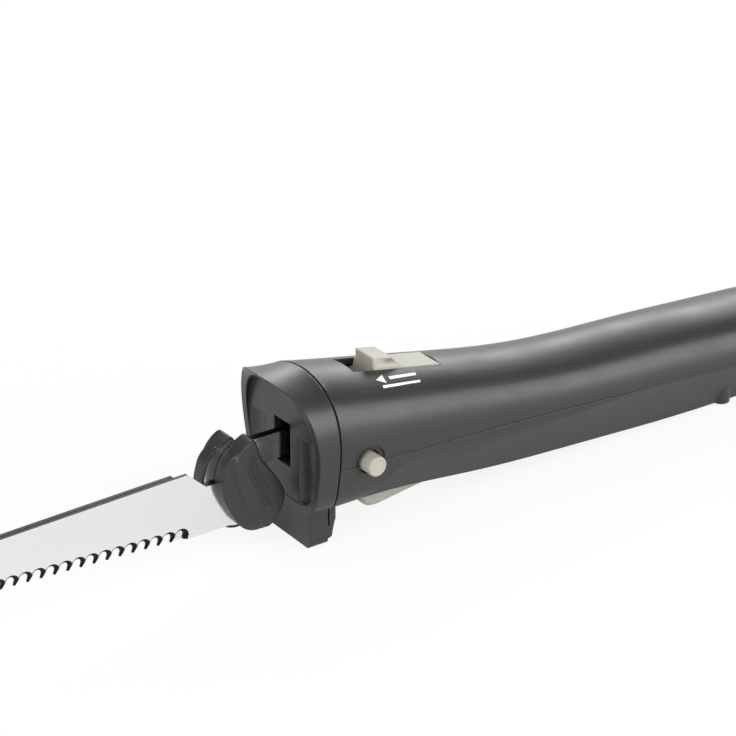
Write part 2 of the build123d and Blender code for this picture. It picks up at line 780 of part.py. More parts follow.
def make_blade_right(left):
    """Right blade: the left one mirrored, with a long slot for the rivet."""
    slot_half = STROKE + RIVET_RADIUS + SLIDE_GAP
    slot = SlotOverall(2 * slot_half, 2 * (RIVET_RADIUS + FIT_GAP))
    cut = side_plate(Pos(RIVET_X, rivet_z()) * slot, -OVERRUN, OVERRUN)
    return mirrored(left) - cut


def bolster_outline(shares, inset):
    """Closed outline of a bolster layer, drawn in by an inset."""
    points = []
    for ahead, below in shares:
        x = PAD_REAR_X + PAD_LENGTH * ahead + inset * (1 - 2 * ahead)
        z = PAD_TOP_Z - PAD_HEIGHT * below + inset * (2 * below - 1)
        points.append((x, z))
    return make_face(Spline(*points, periodic=True))


def layer(shares, inset, y):
    """A bolster outline laid across Y."""
    plane = Plane(origin=(0, y, 0), x_dir=(1, 0, 0), z_dir=(0, -1, 0))
    return plane * bolster_outline(shares, inset)


def make_bolster_left():
    """Left bolster: a rim round the blade's shoulder, sloping in to the finger pad."""
    rim = extrude(layer(GUARD_SHARES, 0, GUARD_RIM_Y), amount=GUARD_RIM_Y - blade_inner_y)
    slope = loft([layer(GUARD_SHARES, 0, GUARD_RIM_Y), layer(PAD_SHARES, 0, PAD_BASE_Y)])
    pad = extrude(layer(PAD_SHARES, 0, PAD_FACE_Y), amount=PAD_FACE_Y - PAD_BASE_Y)
    pad = chamfer(pad.faces().sort_by(Axis.Y)[-1].edges(), length=PAD_EDGE)
    return rim + slope + pad


def make_worm():
    """Single-start right-hand worm on the motor shaft."""
    x0 = WHEEL_X - WORM_LENGTH / 2
    x1 = WHEEL_X + WORM_LENGTH / 2
    core = rod_x(x0, x1, worm_root_radius, 0, motor_z)
    half_pitch = worm_lead / 4 - BACKLASH / 2
    flank = GEAR_MODULE * FLANK_SHARE
    inner = half_pitch + flank
    outer = half_pitch - flank
    sink = GEAR_MODULE / 4
    thread_length = WORM_LENGTH - 2 * worm_lead
    path = Helix(pitch=worm_lead, height=thread_length, radius=WORM_PITCH_RADIUS)
    profile = Polygon(
        (worm_root_radius - WORM_PITCH_RADIUS - sink, -inner),
        (GEAR_MODULE, -outer),
        (GEAR_MODULE, outer),
        (worm_root_radius - WORM_PITCH_RADIUS - sink, inner),
        align=None,
    )
    start = Plane(origin=(WORM_PITCH_RADIUS, 0, 0), x_dir=(1, 0, 0), z_dir=(0, -1, 0))
    thread = sweep(start * profile, path=path, is_frenet=True)
    turn = -360 * (thread_length / 2) / worm_lead
    place = Pos(WHEEL_X - thread_length / 2, 0, motor_z) * Rot(0, 90, 0) * Rot(0, 0, 180 + turn)
    bore = rod_x(x0, x1, SHAFT_RADIUS, 0, motor_z)
    return core + place * thread - bore


def make_worm_wheel():
    """Worm wheel with slanted teeth, a hub bore and holes for its crank pins."""
    half = WHEEL_THICKNESS / 2
    wheel = rod_y(-half, half, wheel_tip_radius, WHEEL_X, WHEEL_Z)
    lead_angle = degrees(atan2(worm_lead, 2 * pi * WORM_PITCH_RADIUS))
    pitch = pi * GEAR_MODULE
    root_half = pitch / 4 - GEAR_MODULE * TOOTH_GAP_SHARE
    tip_half = pitch / 4 + GEAR_MODULE * TOOTH_GAP_SHARE
    depth = wheel_tip_radius - wheel_root_radius
    gap = Polygon(
        (-root_half, -wheel_root_radius),
        (-tip_half, -wheel_tip_radius - FIT_GAP),
        (tip_half, -wheel_tip_radius - FIT_GAP),
        (root_half, -wheel_root_radius),
        align=None,
    )
    cutter = side_plate(gap, -WHEEL_THICKNESS, WHEEL_THICKNESS)
    cutter = Rot(0, 0, lead_angle) * cutter
    for n in range(WHEEL_TEETH):
        wheel = wheel - Pos(WHEEL_X, 0, WHEEL_Z) * Rot(0, 360 * n / WHEEL_TEETH, 0) * cutter
    rim = wheel_root_radius - depth
    hub = AXLE_RADIUS + WALL
    recess = side_plate(Circle(rim) - Circle(hub), half - WHEEL_THICKNESS / 6, half)
    for turn in (0, 180):
        boss = side_plate(
            Pos(0, crank_radius) * Circle(CRANK_PIN_RADIUS + WALL / 2), 0, half
        )
        face = recess - boss if turn == 0 else recess - Rot(0, 180, 0) * boss
        side = face if turn == 0 else mirrored(face)
        wheel = wheel - Pos(WHEEL_X, 0, WHEEL_Z) * side
    bore = rod_y(-half, half, AXLE_RADIUS + SHAFT_GAP, WHEEL_X, WHEEL_Z)
    wheel = wheel - bore
    for pin in crank_pin_solids():
        wheel = wheel - pin
    return turned(wheel)


def turned(shape):
    """A shape turned with the wheel to its place at rest, a whole number of teeth."""
    return Pos(WHEEL_X, 0, WHEEL_Z) * Rot(0, -rest_turn, 0) * Pos(-WHEEL_X, 0, -WHEEL_Z) * shape


def crank_pin_solids():
    """Two crank pins half a turn apart, one on each face of the wheel."""
    half = WHEEL_THICKNESS / 2
    root = WHEEL_THICKNESS / 6
    near = rod_y(root, half + CRANK_PIN_REACH, CRANK_PIN_RADIUS, WHEEL_X, WHEEL_Z + crank_radius)
    far = rod_y(-half - CRANK_PIN_REACH, -root, CRANK_PIN_RADIUS, WHEEL_X, WHEEL_Z - crank_radius)
    return [near, far]


def make_driver_left():
    """Left blade driver: a yoke over the crank pin, stepped in to a socket for the tang."""
    window_half = STROKE / 2 + crank_radius + CRANK_PIN_RADIUS + SLIDE_GAP
    window_rise = crank_radius + CRANK_PIN_RADIUS + SLIDE_GAP
    yoke_rear = WHEEL_X - window_half - YOKE_RIM
    yoke_front = SOCKET_REAR_X + STEP_LENGTH
    yoke_outer = YOKE_FACE_Y + YOKE_THICKNESS
    low = WHEEL_Z - window_rise - YOKE_RIM
    high = WHEEL_Z + window_rise + YOKE_RIM
    rim_front = 2 * WHEEL_X - yoke_rear
    yoke = block(yoke_rear, rim_front, YOKE_FACE_Y, yoke_outer, low, high)
    window = block(
        WHEEL_X - window_half,
        WHEEL_X + window_half,
        0,
        OVERRUN,
        WHEEL_Z - window_rise,
        WHEEL_Z + window_rise,
    )
    inner = TANG_HEIGHT / 2 + FIT_GAP
    outer = inner + SOCKET_LIP
    y1 = driver_wall_y + SOCKET_WALL
    socket = block(
        SOCKET_REAR_X, DRIVER_FRONT_X, blade_inner_y, y1, BLADE_AXIS_Z - outer, BLADE_AXIS_Z + outer
    )
    pocket = block(
        TANG_REAR_X - SLIDE_GAP,
        OVERRUN,
        0,
        driver_wall_y,
        BLADE_AXIS_Z - inner,
        BLADE_AXIS_Z + inner,
    )
    step = block(
        SOCKET_REAR_X, yoke_front, driver_wall_y, yoke_outer, BLADE_AXIS_Z - outer, BLADE_AXIS_Z + outer
    )
    arm = block(
        rim_front - YOKE_RIM,
        yoke_front,
        YOKE_FACE_Y,
        yoke_outer,
        BLADE_AXIS_Z - outer,
        high,
    )
    tooth = latch_window(SLIDE_GAP)
    return yoke - window + arm + socket + step - pocket - tooth


def latch_window(gap):
    """Space of the latch tooth through the socket wall, with a gap all round."""
    middle = BUTTON_X
    half_length = LATCH_TOOTH_LENGTH / 2 + gap
    half_width = LATCH_WIDTH / 2 + gap
    return block(
        middle - half_length,
        middle + half_length,
        blade_outer_y + SEAT_GAP - gap,
        driver_wall_y + SOCKET_WALL,
        BLADE_AXIS_Z - half_width,
        BLADE_AXIS_Z + half_width,
    )


def make_latch_left():
    """Spring leaf on the driver, whose tooth reaches in to the tang."""
    y0 = driver_wall_y + SOCKET_WALL
    leaf = block(
        DRIVER_FRONT_X - LATCH_LENGTH,
        DRIVER_FRONT_X - SLIDE_GAP,
        y0,
        y0 + LATCH_THICKNESS,
        BLADE_AXIS_Z - LATCH_WIDTH / 2,
        BLADE_AXIS_Z + LATCH_WIDTH / 2,
    )
    return leaf + latch_window(0)


def make_gear_frame():
    """Frame with two side plates, bush walls at both ends of the worm, and the driver guide."""
    outline = Polygon(
        (FRAME_REAR_X, FRAME_BOTTOM_Z),
        (FRAME_STEP_X, FRAME_BOTTOM_Z),
        (FRAME_STEP_X, FRAME_FRONT_FLOOR_Z),
        (FRAME_FRONT_X, FRAME_FRONT_FLOOR_Z),
        (FRAME_FRONT_X, FRAME_TOP_Z),
        (FRAME_REAR_X, FRAME_TOP_Z),
        align=None,
    )
    frame = both_sides(side_plate(outline, FRAME_FACE_Y, frame_outer_y))
    worm_clear = worm_tip_radius + SLIDE_GAP
    wall_top = motor_z + BUSH_RADIUS + BUSH_FLANGE + SEAT_GAP
    walls = (
        (FRAME_REAR_X, FRAME_BOTTOM_Z, wall_top),
        (FRAME_STEP_X - BUSH_WALL, motor_z - worm_clear, wall_top),
    )
    for x, low, high in walls:
        wall = block(x, x + BUSH_WALL, -FRAME_FACE_Y, FRAME_FACE_Y, low, high)
        frame = frame + wall - rod_x(x, x + BUSH_WALL, BUSH_RADIUS, 0, motor_z)
    guide_low = BLADE_AXIS_Z - TANG_HEIGHT / 2 - FIT_GAP - SOCKET_LIP - SLIDE_GAP
    guide_high = 2 * BLADE_AXIS_Z - guide_low
    floor = block(
        GUIDE_X, GUIDE_X + GUIDE_LENGTH, -FRAME_FACE_Y, FRAME_FACE_Y, FRAME_FRONT_FLOOR_Z, guide_low
    )
    roof = block(
        GUIDE_X, GUIDE_X + GUIDE_LENGTH, -FRAME_FACE_Y, FRAME_FACE_Y, guide_high, FRAME_TOP_Z
    )
    frame = frame + floor + roof
    axle = rod_y(-frame_outer_y, frame_outer_y, AXLE_RADIUS, WHEEL_X, WHEEL_Z)
    stem = rod_y(-frame_outer_y, frame_outer_y, BUTTON_STEM_RADIUS + SLIDE_GAP, BUTTON_X, BUTTON_Z)
    return frame - axle - stem


def make_bush(x0):
    """Flanged plain bush for the worm shaft in a frame wall."""
    bush = rod_x(x0, x0 + BUSH_WALL, BUSH_RADIUS, 0, motor_z)
    flange = rod_x(x0 + BUSH_WALL, x0 + BUSH_WALL + BUSH_FLANGE, BUSH_RADIUS + BUSH_FLANGE, 0, motor_z)
    bore = rod_x(x0, x0 + BUSH_WALL + BUSH_FLANGE, SHAFT_RADIUS + SHAFT_GAP, 0, motor_z)
    return bush + flange - bore


def make_motor_can():
    """Drawn can, closed in front with a bearing neck and two vents."""
    can = rod_x(motor_rear_x, MOTOR_FRONT_X, MOTOR_RADIUS, 0, motor_z)
    can = can - rod_x(motor_rear_x, MOTOR_FRONT_X - CAN_WALL, MOTOR_RADIUS - CAN_WALL, 0, motor_z)
    can = can + rod_x(MOTOR_FRONT_X, MOTOR_FRONT_X + NECK_BUSH_REACH, NECK_BUSH_RADIUS, 0, motor_z)
    shaft = rod_x(
        motor_rear_x, MOTOR_FRONT_X + NECK_BUSH_REACH, SHAFT_RADIUS + SHAFT_GAP, 0, motor_z
    )
    vent_y = (MOTOR_RADIUS + NECK_BUSH_RADIUS) / 2
    vent = rod_x(MOTOR_FRONT_X - CAN_WALL, MOTOR_FRONT_X, MAGNET_THICKNESS, vent_y, motor_z)
    return can - shaft - both_sides(vent)


def make_field_magnets():
    """Two arc magnets inside the can, one above and one below."""
    outer = MOTOR_RADIUS - CAN_WALL
    inner = outer - MAGNET_THICKNESS
    front = MOTOR_FRONT_X - CAN_WALL - WINDING_LENGTH
    ring = rod_x(front - MAGNET_LENGTH, front, outer, 0, motor_z)
    ring = ring - rod_x(front - MAGNET_LENGTH, front, inner, 0, motor_z)
    half = (180 - MAGNET_SWEEP) / 2
    reach = MOTOR_RADIUS + OVERRUN
    gap = Polygon(
        (0, 0),
        (reach * cos(radians(half)), -reach * sin(radians(half))),
        (reach * cos(radians(half)), reach * sin(radians(half))),
        align=None,
    )
    plane = Plane(origin=(front, 0, motor_z), x_dir=(0, 1, 0), z_dir=(-1, 0, 0))
    cut = extrude(plane * gap, amount=MAGNET_LENGTH)
    return ring - both_sides(cut)


def brush_x():
    """Middle of the brushes along the commutator."""
    return motor_rear_x + END_CAP_THICKNESS + BRUSH_SIZE


def make_motor_end_cap():
    """Moulded cap with the rear bearing and two brush channels."""
    inner_radius = MOTOR_RADIUS - CAN_WALL
    cap = rod_x(motor_rear_x, motor_rear_x + END_CAP_THICKNESS, inner_radius, 0, motor_z)
    neck = rod_x(motor_rear_x - NECK_BUSH_REACH, motor_rear_x, NECK_BUSH_RADIUS, 0, motor_z)
    half = BRUSH_SIZE / 2 + SHAFT_GAP
    wall = half + CAN_WALL
    inner = COMMUTATOR_RADIUS + CAN_WALL
    holder = block(
        motor_rear_x + END_CAP_THICKNESS,
        brush_x() + wall,
        inner,
        inner_radius - SEAT_GAP - CAN_WALL,
        motor_z - wall,
        motor_z + wall,
    )
    channel = block(brush_x() - half, brush_x() + half, 0, inner_radius, motor_z - half, motor_z + half)
    shaft = rod_x(
        motor_rear_x - NECK_BUSH_REACH,
        motor_rear_x + END_CAP_THICKNESS,
        SHAFT_RADIUS + SHAFT_GAP,
        0,
        motor_z,
    )
    return cap + neck + both_sides(holder - channel) - shaft


def make_carbon_brushes():
    """Two square brushes that end just off the commutator."""
    half = BRUSH_SIZE / 2
    start = COMMUTATOR_RADIUS + SHAFT_GAP
    return both_sides(
        block(
            brush_x() - half,
            brush_x() + half,
            start,
            start + BRUSH_LENGTH,
            motor_z - half,
            motor_z + half,
        )
    )


def rotor_front_x():
    """Front face of the rotor core, under the middle of the magnets."""
    middle = MOTOR_FRONT_X - CAN_WALL - WINDING_LENGTH - MAGNET_LENGTH / 2
    return middle + ROTOR_LENGTH / 2


def make_motor_shaft():
    """Shaft from the end cap through the motor, fan and worm to the frame's front bush."""
    front = FRAME_STEP_X + BUSH_FLANGE
    return rod_x(motor_rear_x - NECK_BUSH_REACH, front, SHAFT_RADIUS, 0, motor_z)


def make_rotor_core():
    """Slotted stack of laminations."""
    front = rotor_front_x()
    core = rod_x(front - ROTOR_LENGTH, front, ROTOR_RADIUS, 0, motor_z)
    plane = Pos(0, 0, motor_z)
    for n in range(ROTOR_SLOTS):
        slot = block(
            front - ROTOR_LENGTH,
            front,
            -ROTOR_SLOT_WIDTH / 2,
            ROTOR_SLOT_WIDTH / 2,
            ROTOR_RADIUS - ROTOR_SLOT_DEPTH,
            ROTOR_RADIUS + FIT_GAP,
        )
        core = core - plane * Rot(360 * n / ROTOR_SLOTS, 0, 0) * slot
    return core - rod_x(front - ROTOR_LENGTH, front, SHAFT_RADIUS, 0, motor_z)


def make_rotor_windings():
    """End turns at both ends of the core, their edges sloped."""
    front = rotor_front_x()
    ends = []
    for x0 in (front, front - ROTOR_LENGTH - WINDING_LENGTH):
        ring = rod_x(x0, x0 + WINDING_LENGTH, WINDING_RADIUS, 0, motor_z)
        ring = chamfer(ring.edges(), length=WINDING_LENGTH / 3)
        ends.append(ring - rod_x(x0, x0 + WINDING_LENGTH, SHAFT_RADIUS, 0, motor_z))
    return Compound(ends)


def make_commutator():
    """Commutator with its bars parted by narrow slits."""
    x0 = motor_rear_x + END_CAP_THICKNESS + SEAT_GAP
    x1 = x0 + COMMUTATOR_LENGTH
    drum = rod_x(x0, x1, COMMUTATOR_RADIUS, 0, motor_z)
    for n in range(COMMUTATOR_BARS):
        slit = block(
            x0, x1, -BAR_GAP / 2, BAR_GAP / 2, COMMUTATOR_RADIUS - BAR_GAP, COMMUTATOR_RADIUS + BAR_GAP
        )
        drum = drum - Pos(0, 0, motor_z) * Rot(360 * n / COMMUTATOR_BARS, 0, 0) * slit
    return drum - rod_x(x0, x1, SHAFT_RADIUS, 0, motor_z)


def make_cooling_fan():
    """Radial fan: a back plate, a hub and straight vanes."""
    x0 = FAN_X - FAN_LENGTH / 2
    x1 = FAN_X + FAN_LENGTH / 2
    fan = rod_x(x0, x0 + FAN_PLATE, FAN_RADIUS, 0, motor_z)
    fan = fan + rod_x(x0, x1, FAN_HUB_RADIUS, 0, motor_z)
    for n in range(FAN_BLADES):
        vane = block(
            x0 + FAN_PLATE / 2,
            x1,
            -FAN_BLADE_THICKNESS / 2,
            FAN_BLADE_THICKNESS / 2,
            FAN_HUB_RADIUS - FAN_BLADE_THICKNESS,
            FAN_RADIUS - FAN_BLADE_THICKNESS,
        )
        fan = fan + Pos(0, 0, motor_z) * Rot(360 * n / FAN_BLADES, 0, 0) * vane
    return fan - rod_x(x0, x1, SHAFT_RADIUS, 0, motor_z)


def make_trigger():
    """Bar trigger with a rounded nose, a stop lip in front and a pivot at its rear."""
    rear = TRIGGER_PIVOT_X - TRIGGER_PIN_RADIUS - WALL / 2
    low = (TRIGGER_BULGE_X, TRIGGER_LOW_Z)
    shape = (
        Line((TRIGGER_FRONT_X, TRIGGER_TOP_Z), (rear, TRIGGER_TOP_Z))
        + Line((rear, TRIGGER_TOP_Z), (rear, TRIGGER_REAR_LOW_Z + WALL / 2))
        + Line((rear, TRIGGER_REAR_LOW_Z + WALL / 2), (rear + WALL, TRIGGER_REAR_LOW_Z))
        + Line((rear + WALL, TRIGGER_REAR_LOW_Z), (TRIGGER_BULGE_X - WALL, TRIGGER_LOW_Z))
        + Spline(
            (TRIGGER_BULGE_X - WALL, TRIGGER_LOW_Z),
            low,
            (TRIGGER_FRONT_X, SEAM_BOTTOM - WALL),
            tangents=NOSE_TANGENT_SHARES,
        )
        + Line((TRIGGER_FRONT_X, SEAM_BOTTOM - WALL), (TRIGGER_FRONT_X, TRIGGER_TOP_Z))
    )
    bar = side_plate(make_face(shape), -trigger_half_width, trigger_half_width)
    bottom = [e for e in bar.edges() if edge_on_side(e)]
    bar = fillet(bottom, radius=TRIGGER_EDGE)
    floor = bottom_at(TRIGGER_FRONT_X) + WALL + SEAT_GAP
    lip = block(
        TRIGGER_FRONT_X,
        TRIGGER_FRONT_X + TRIGGER_LIP_LENGTH,
        -trigger_half_width,
        trigger_half_width,
        floor,
        floor + TRIGGER_LIP_HEIGHT,
    )
    riser = block(
        TRIGGER_FRONT_X - TRIGGER_LIP_HEIGHT,
        TRIGGER_FRONT_X,
        -trigger_half_width,
        trigger_half_width,
        TRIGGER_TOP_Z - TRIGGER_LIP_HEIGHT,
        floor + TRIGGER_LIP_HEIGHT,
    )
    pin = rod_y(
        -trigger_half_width,
        trigger_half_width,
        TRIGGER_PIN_RADIUS + SHAFT_GAP,
        TRIGGER_PIVOT_X,
        TRIGGER_PIVOT_Z,
    )
    return bar + lip + riser - pin


def edge_on_side(edge):
    """Whether an edge of the trigger runs along the lower part of one of its sides."""
    middle = edge.center()
    on_side = abs(abs(middle.Y) - trigger_half_width) < FIT_GAP
    return on_side and middle.Z < TRIGGER_REAR_LOW_Z


def make_trigger_pin():
    """Steel pin across the ears of the lower housing."""
    half = trigger_half_width + SLIDE_GAP + WALL
    return rod_y(-half, half, TRIGGER_PIN_RADIUS, TRIGGER_PIVOT_X, TRIGGER_PIVOT_Z)


def plunger_x():
    """Middle of the switch along the knife."""
    return SWITCH_FRONT_X - SWITCH_LENGTH / 2


def make_switch_body():
    """Microswitch under the front of the gear frame, with a bore for its plunger."""
    body = block(
        SWITCH_FRONT_X - SWITCH_LENGTH,
        SWITCH_FRONT_X,
        -SWITCH_WIDTH / 2,
        SWITCH_WIDTH / 2,
        SWITCH_BOTTOM_Z,
        SWITCH_BOTTOM_Z + SWITCH_HEIGHT,
    )
    saddle = block(
        SWITCH_FRONT_X - SWITCH_EAR_LENGTH,
        SWITCH_FRONT_X,
        -frame_outer_y,
        frame_outer_y,
        SWITCH_BOTTOM_Z + SWITCH_HEIGHT,
        FRAME_FRONT_FLOOR_Z,
    )
    bore = rod_z(
        SWITCH_BOTTOM_Z,
        SWITCH_BOTTOM_Z + PLUNGER_BORE_DEPTH,
        PLUNGER_RADIUS + SHAFT_GAP,
        plunger_x(),
        0,
    )
    return body + saddle - bore


def make_switch_plunger():
    """Plunger that the trigger lifts."""
    low = TRIGGER_TOP_Z + SEAT_GAP
    return rod_z(low, low + PLUNGER_LENGTH, PLUNGER_RADIUS, plunger_x(), 0)


def coil(radius, length, turns):
    """Compression spring along Z from zero, one unbroken helix."""
    wire = SPRING_WIRE_RADIUS
    path = Helix(pitch=(length - 2 * wire) / turns, height=length - 2 * wire, radius=radius)
    start = Plane(origin=(radius, 0, 0), x_dir=(1, 0, 0), z_dir=(0, -1, 0))
    gap = (length - 2 * wire) / turns - 2 * wire
    print("spring gap", round(gap, 2), "mm")
    return Pos(0, 0, wire) * sweep(start * RegularPolygon(wire, 6), path=path, is_frenet=True)


def make_trigger_spring():
    """Return spring between the trigger's lip and the gear frame."""
    low = bottom_at(TRIGGER_FRONT_X) + WALL + SEAT_GAP + TRIGGER_LIP_HEIGHT + SEAT_GAP
    high = FRAME_FRONT_FLOOR_Z - SEAT_GAP
    spring = coil(TRIGGER_SPRING_RADIUS, high - low, TRIGGER_SPRING_TURNS)
    return Pos(TRIGGER_SPRING_X, 0, low) * spring


def make_release_button_left():
    """Round push button with a retaining flange and a stem towards the latch."""
    cap_low = BUTTON_FLANGE_Y + BUTTON_FLANGE_THICKNESS
    cap = rod_y(BUTTON_FLANGE_Y, BUTTON_FACE_Y, BUTTON_RADIUS, BUTTON_X, BUTTON_Z)
    cap = chamfer(cap.edges().sort_by(Axis.Y)[-1], length=BUTTON_EDGE)
    flange = rod_y(BUTTON_FLANGE_Y, cap_low, BUTTON_FLANGE_RADIUS, BUTTON_X, BUTTON_Z)
    stem = rod_y(BUTTON_STEM_END_Y, BUTTON_FLANGE_Y, BUTTON_STEM_RADIUS, BUTTON_X, BUTTON_Z)
    return cap + flange + stem


def make_button_spring_left():
    """Return spring round the button's stem."""
    low = frame_outer_y + SEAT_GAP
    high = BUTTON_FLANGE_Y - SEAT_GAP
    spring = coil(BUTTON_SPRING_RADIUS, high - low, BUTTON_SPRING_TURNS)
    return Pos(BUTTON_X, low, BUTTON_Z) * Rot(-90, 0, 0) * spring


def make_safety_slide():
    """Slide with its thumb block on a plate that runs under the top wall."""
    half = slide_slot_half()
    front = half - SLIDE_FRONT_GAP
    rear = -half + SLIDE_GAP
    tongue = block(
        rear,
        front,
        SLIDE_GAP - SLIDE_SLOT_WIDTH / 2,
        SLIDE_SLOT_WIDTH / 2 - SLIDE_GAP,
        -SLIDE_PLATE_DEPTH,
        -SLIDE_GAP,
    )
    plate = block(
        rear - SLIDE_GAP - WALL,
        front,
        -SLIDE_PLATE_WIDTH / 2,
        SLIDE_PLATE_WIDTH / 2,
        -SLIDE_PLATE_DEPTH - SLIDE_PLATE_THICKNESS,
        -SLIDE_PLATE_DEPTH,
    )
    side = Polygon(
        (front, -SLIDE_GAP),
        (front, SLIDE_BLOCK_HEIGHT),
        (front - SLIDE_BLOCK_LENGTH + SLIDE_BLOCK_SLOPE, SLIDE_BLOCK_HEIGHT),
        (front - SLIDE_BLOCK_LENGTH, -SLIDE_GAP),
        align=None,
    )
    thumb = side_plate(side, -SLIDE_BLOCK_WIDTH / 2, SLIDE_BLOCK_WIDTH / 2)
    raised = [e for e in thumb.edges() if e.center().Z > 0]
    thumb = fillet(raised, radius=SLIDE_BLOCK_EDGE)
    return slide_frame()[0] * (tongue + plate + thumb)


def make_slide_retainer():
    """Plate under the slide, held on two ribs of the upper housing."""
    half = SLIDE_PLATE_WIDTH / 2 + SLIDE_GAP + RETAINER_RIB
    high = -SLIDE_PLATE_DEPTH - SLIDE_PLATE_THICKNESS - SLIDE_GAP
    plate = block(
        -RETAINER_LENGTH / 2, RETAINER_LENGTH / 2, -half, half, high - RETAINER_THICKNESS, high
    )
    return slide_frame()[0] * plate


def make_housing_screws():
    """Four pan-head screws from below."""
    screws = []
    for x, y in screw_places():
        seat = bottom_at(x) + SCREW_RECESS
        head = rod_z(seat - SCREW_HEAD_HEIGHT, seat, SCREW_HEAD_RADIUS, x, y)
        shank = rod_z(seat, parting_at(x) + SCREW_GRIP, SCREW_RADIUS, x, y)
        screws.append(head + shank)
    return Compound(screws)


def make_cord_gland():
    """Rubber bush through the tail wall, with a collar on each side and a tapered nose."""
    inner = tail_x + WALL
    sleeve = rod_x(tail_x, inner, GLAND_RADIUS - FIT_GAP, 0, GLAND_Z)
    collar = rod_x(inner + SHAFT_GAP, inner + GLAND_INNER_LENGTH, GLAND_HEAD_RADIUS, 0, GLAND_Z)
    collar = collar + rod_x(tail_x, inner + GLAND_INNER_LENGTH, GLAND_RADIUS - FIT_GAP, 0, GLAND_Z)
    plane = Plane(origin=(tail_x, 0, GLAND_Z), x_dir=(0, 1, 0), z_dir=(-1, 0, 0))
    tip = Plane(origin=(gland_end_x, 0, GLAND_Z), x_dir=(0, 1, 0), z_dir=(-1, 0, 0))
    nose = loft([plane * Circle(GLAND_HEAD_RADIUS), tip * Circle(GLAND_TIP_RADIUS)])
    bore = rod_x(gland_end_x, inner + GLAND_INNER_LENGTH, CORD_HOLE_RADIUS, 0, GLAND_Z)
    return sleeve + collar + nose - bore


def make_cord_clamp():
    """Clamp bar over the cord's place, arched in the middle."""
    low = GLAND_Z - CORD_HOLE_RADIUS
    high = low + CLAMP_THICKNESS
    half = CLAMP_POST_Y + CLAMP_POST_RADIUS
    x0 = CLAMP_X - CLAMP_LENGTH / 2
    x1 = CLAMP_X + CLAMP_LENGTH / 2
    bar = block(x0, x1, -half, half, low, high)
    arch = rod_x(x0, x1, CORD_HOLE_RADIUS + CLAMP_THICKNESS, 0, GLAND_Z)
    arch = arch & block(x0, x1, -half, half, low, GLAND_Z + OVERRUN)
    under = block(x0, x1, -CORD_HOLE_RADIUS, CORD_HOLE_RADIUS, low, GLAND_Z)
    bar = bar + arch - [under, rod_x(x0, x1, CORD_HOLE_RADIUS, 0, GLAND_Z)]
    for y in (-CLAMP_POST_Y, CLAMP_POST_Y):
        bar = bar - rod_z(low, high, CLAMP_SCREW_RADIUS + FIT_GAP, CLAMP_X, y)
    return bar


def make_clamp_screws():
    """Two screws of the cord clamp."""
    low = GLAND_Z - CORD_HOLE_RADIUS
    high = low + CLAMP_THICKNESS
    screws = []
    for y in (-CLAMP_POST_Y, CLAMP_POST_Y):
        shank = rod_z(low - SCREW_GRIP / 2, high, CLAMP_SCREW_RADIUS, CLAMP_X, y)
        head = rod_z(high, high + CLAMP_SCREW_HEAD_HEIGHT, CLAMP_SCREW_HEAD_RADIUS, CLAMP_X, y)
        screws.append(shank + head)
    return Compound(screws)


def make_rectifier_board():
    """Board with four diodes and a suppressor capacitor."""
    x0 = BOARD_FRONT_X - BOARD_LENGTH
    top = BOARD_Z + BOARD_THICKNESS
    board = block(x0, BOARD_FRONT_X, -BOARD_WIDTH / 2, BOARD_WIDTH / 2, BOARD_Z, top)
    step = BOARD_WIDTH / DIODE_COUNT
    for n in range(DIODE_COUNT):
        y = step * (n + 0.5) - BOARD_WIDTH / 2
        x = x0 + DIODE_LENGTH
        board = board + rod_x(x, x + DIODE_LENGTH, DIODE_RADIUS, y, top + DIODE_RADIUS / 2)
    front = BOARD_FRONT_X - DIODE_LENGTH
    half = CAPACITOR_SIZE / 2
    return board + block(front - CAPACITOR_SIZE, front, -half, half, top, top + CAPACITOR_HEIGHT)


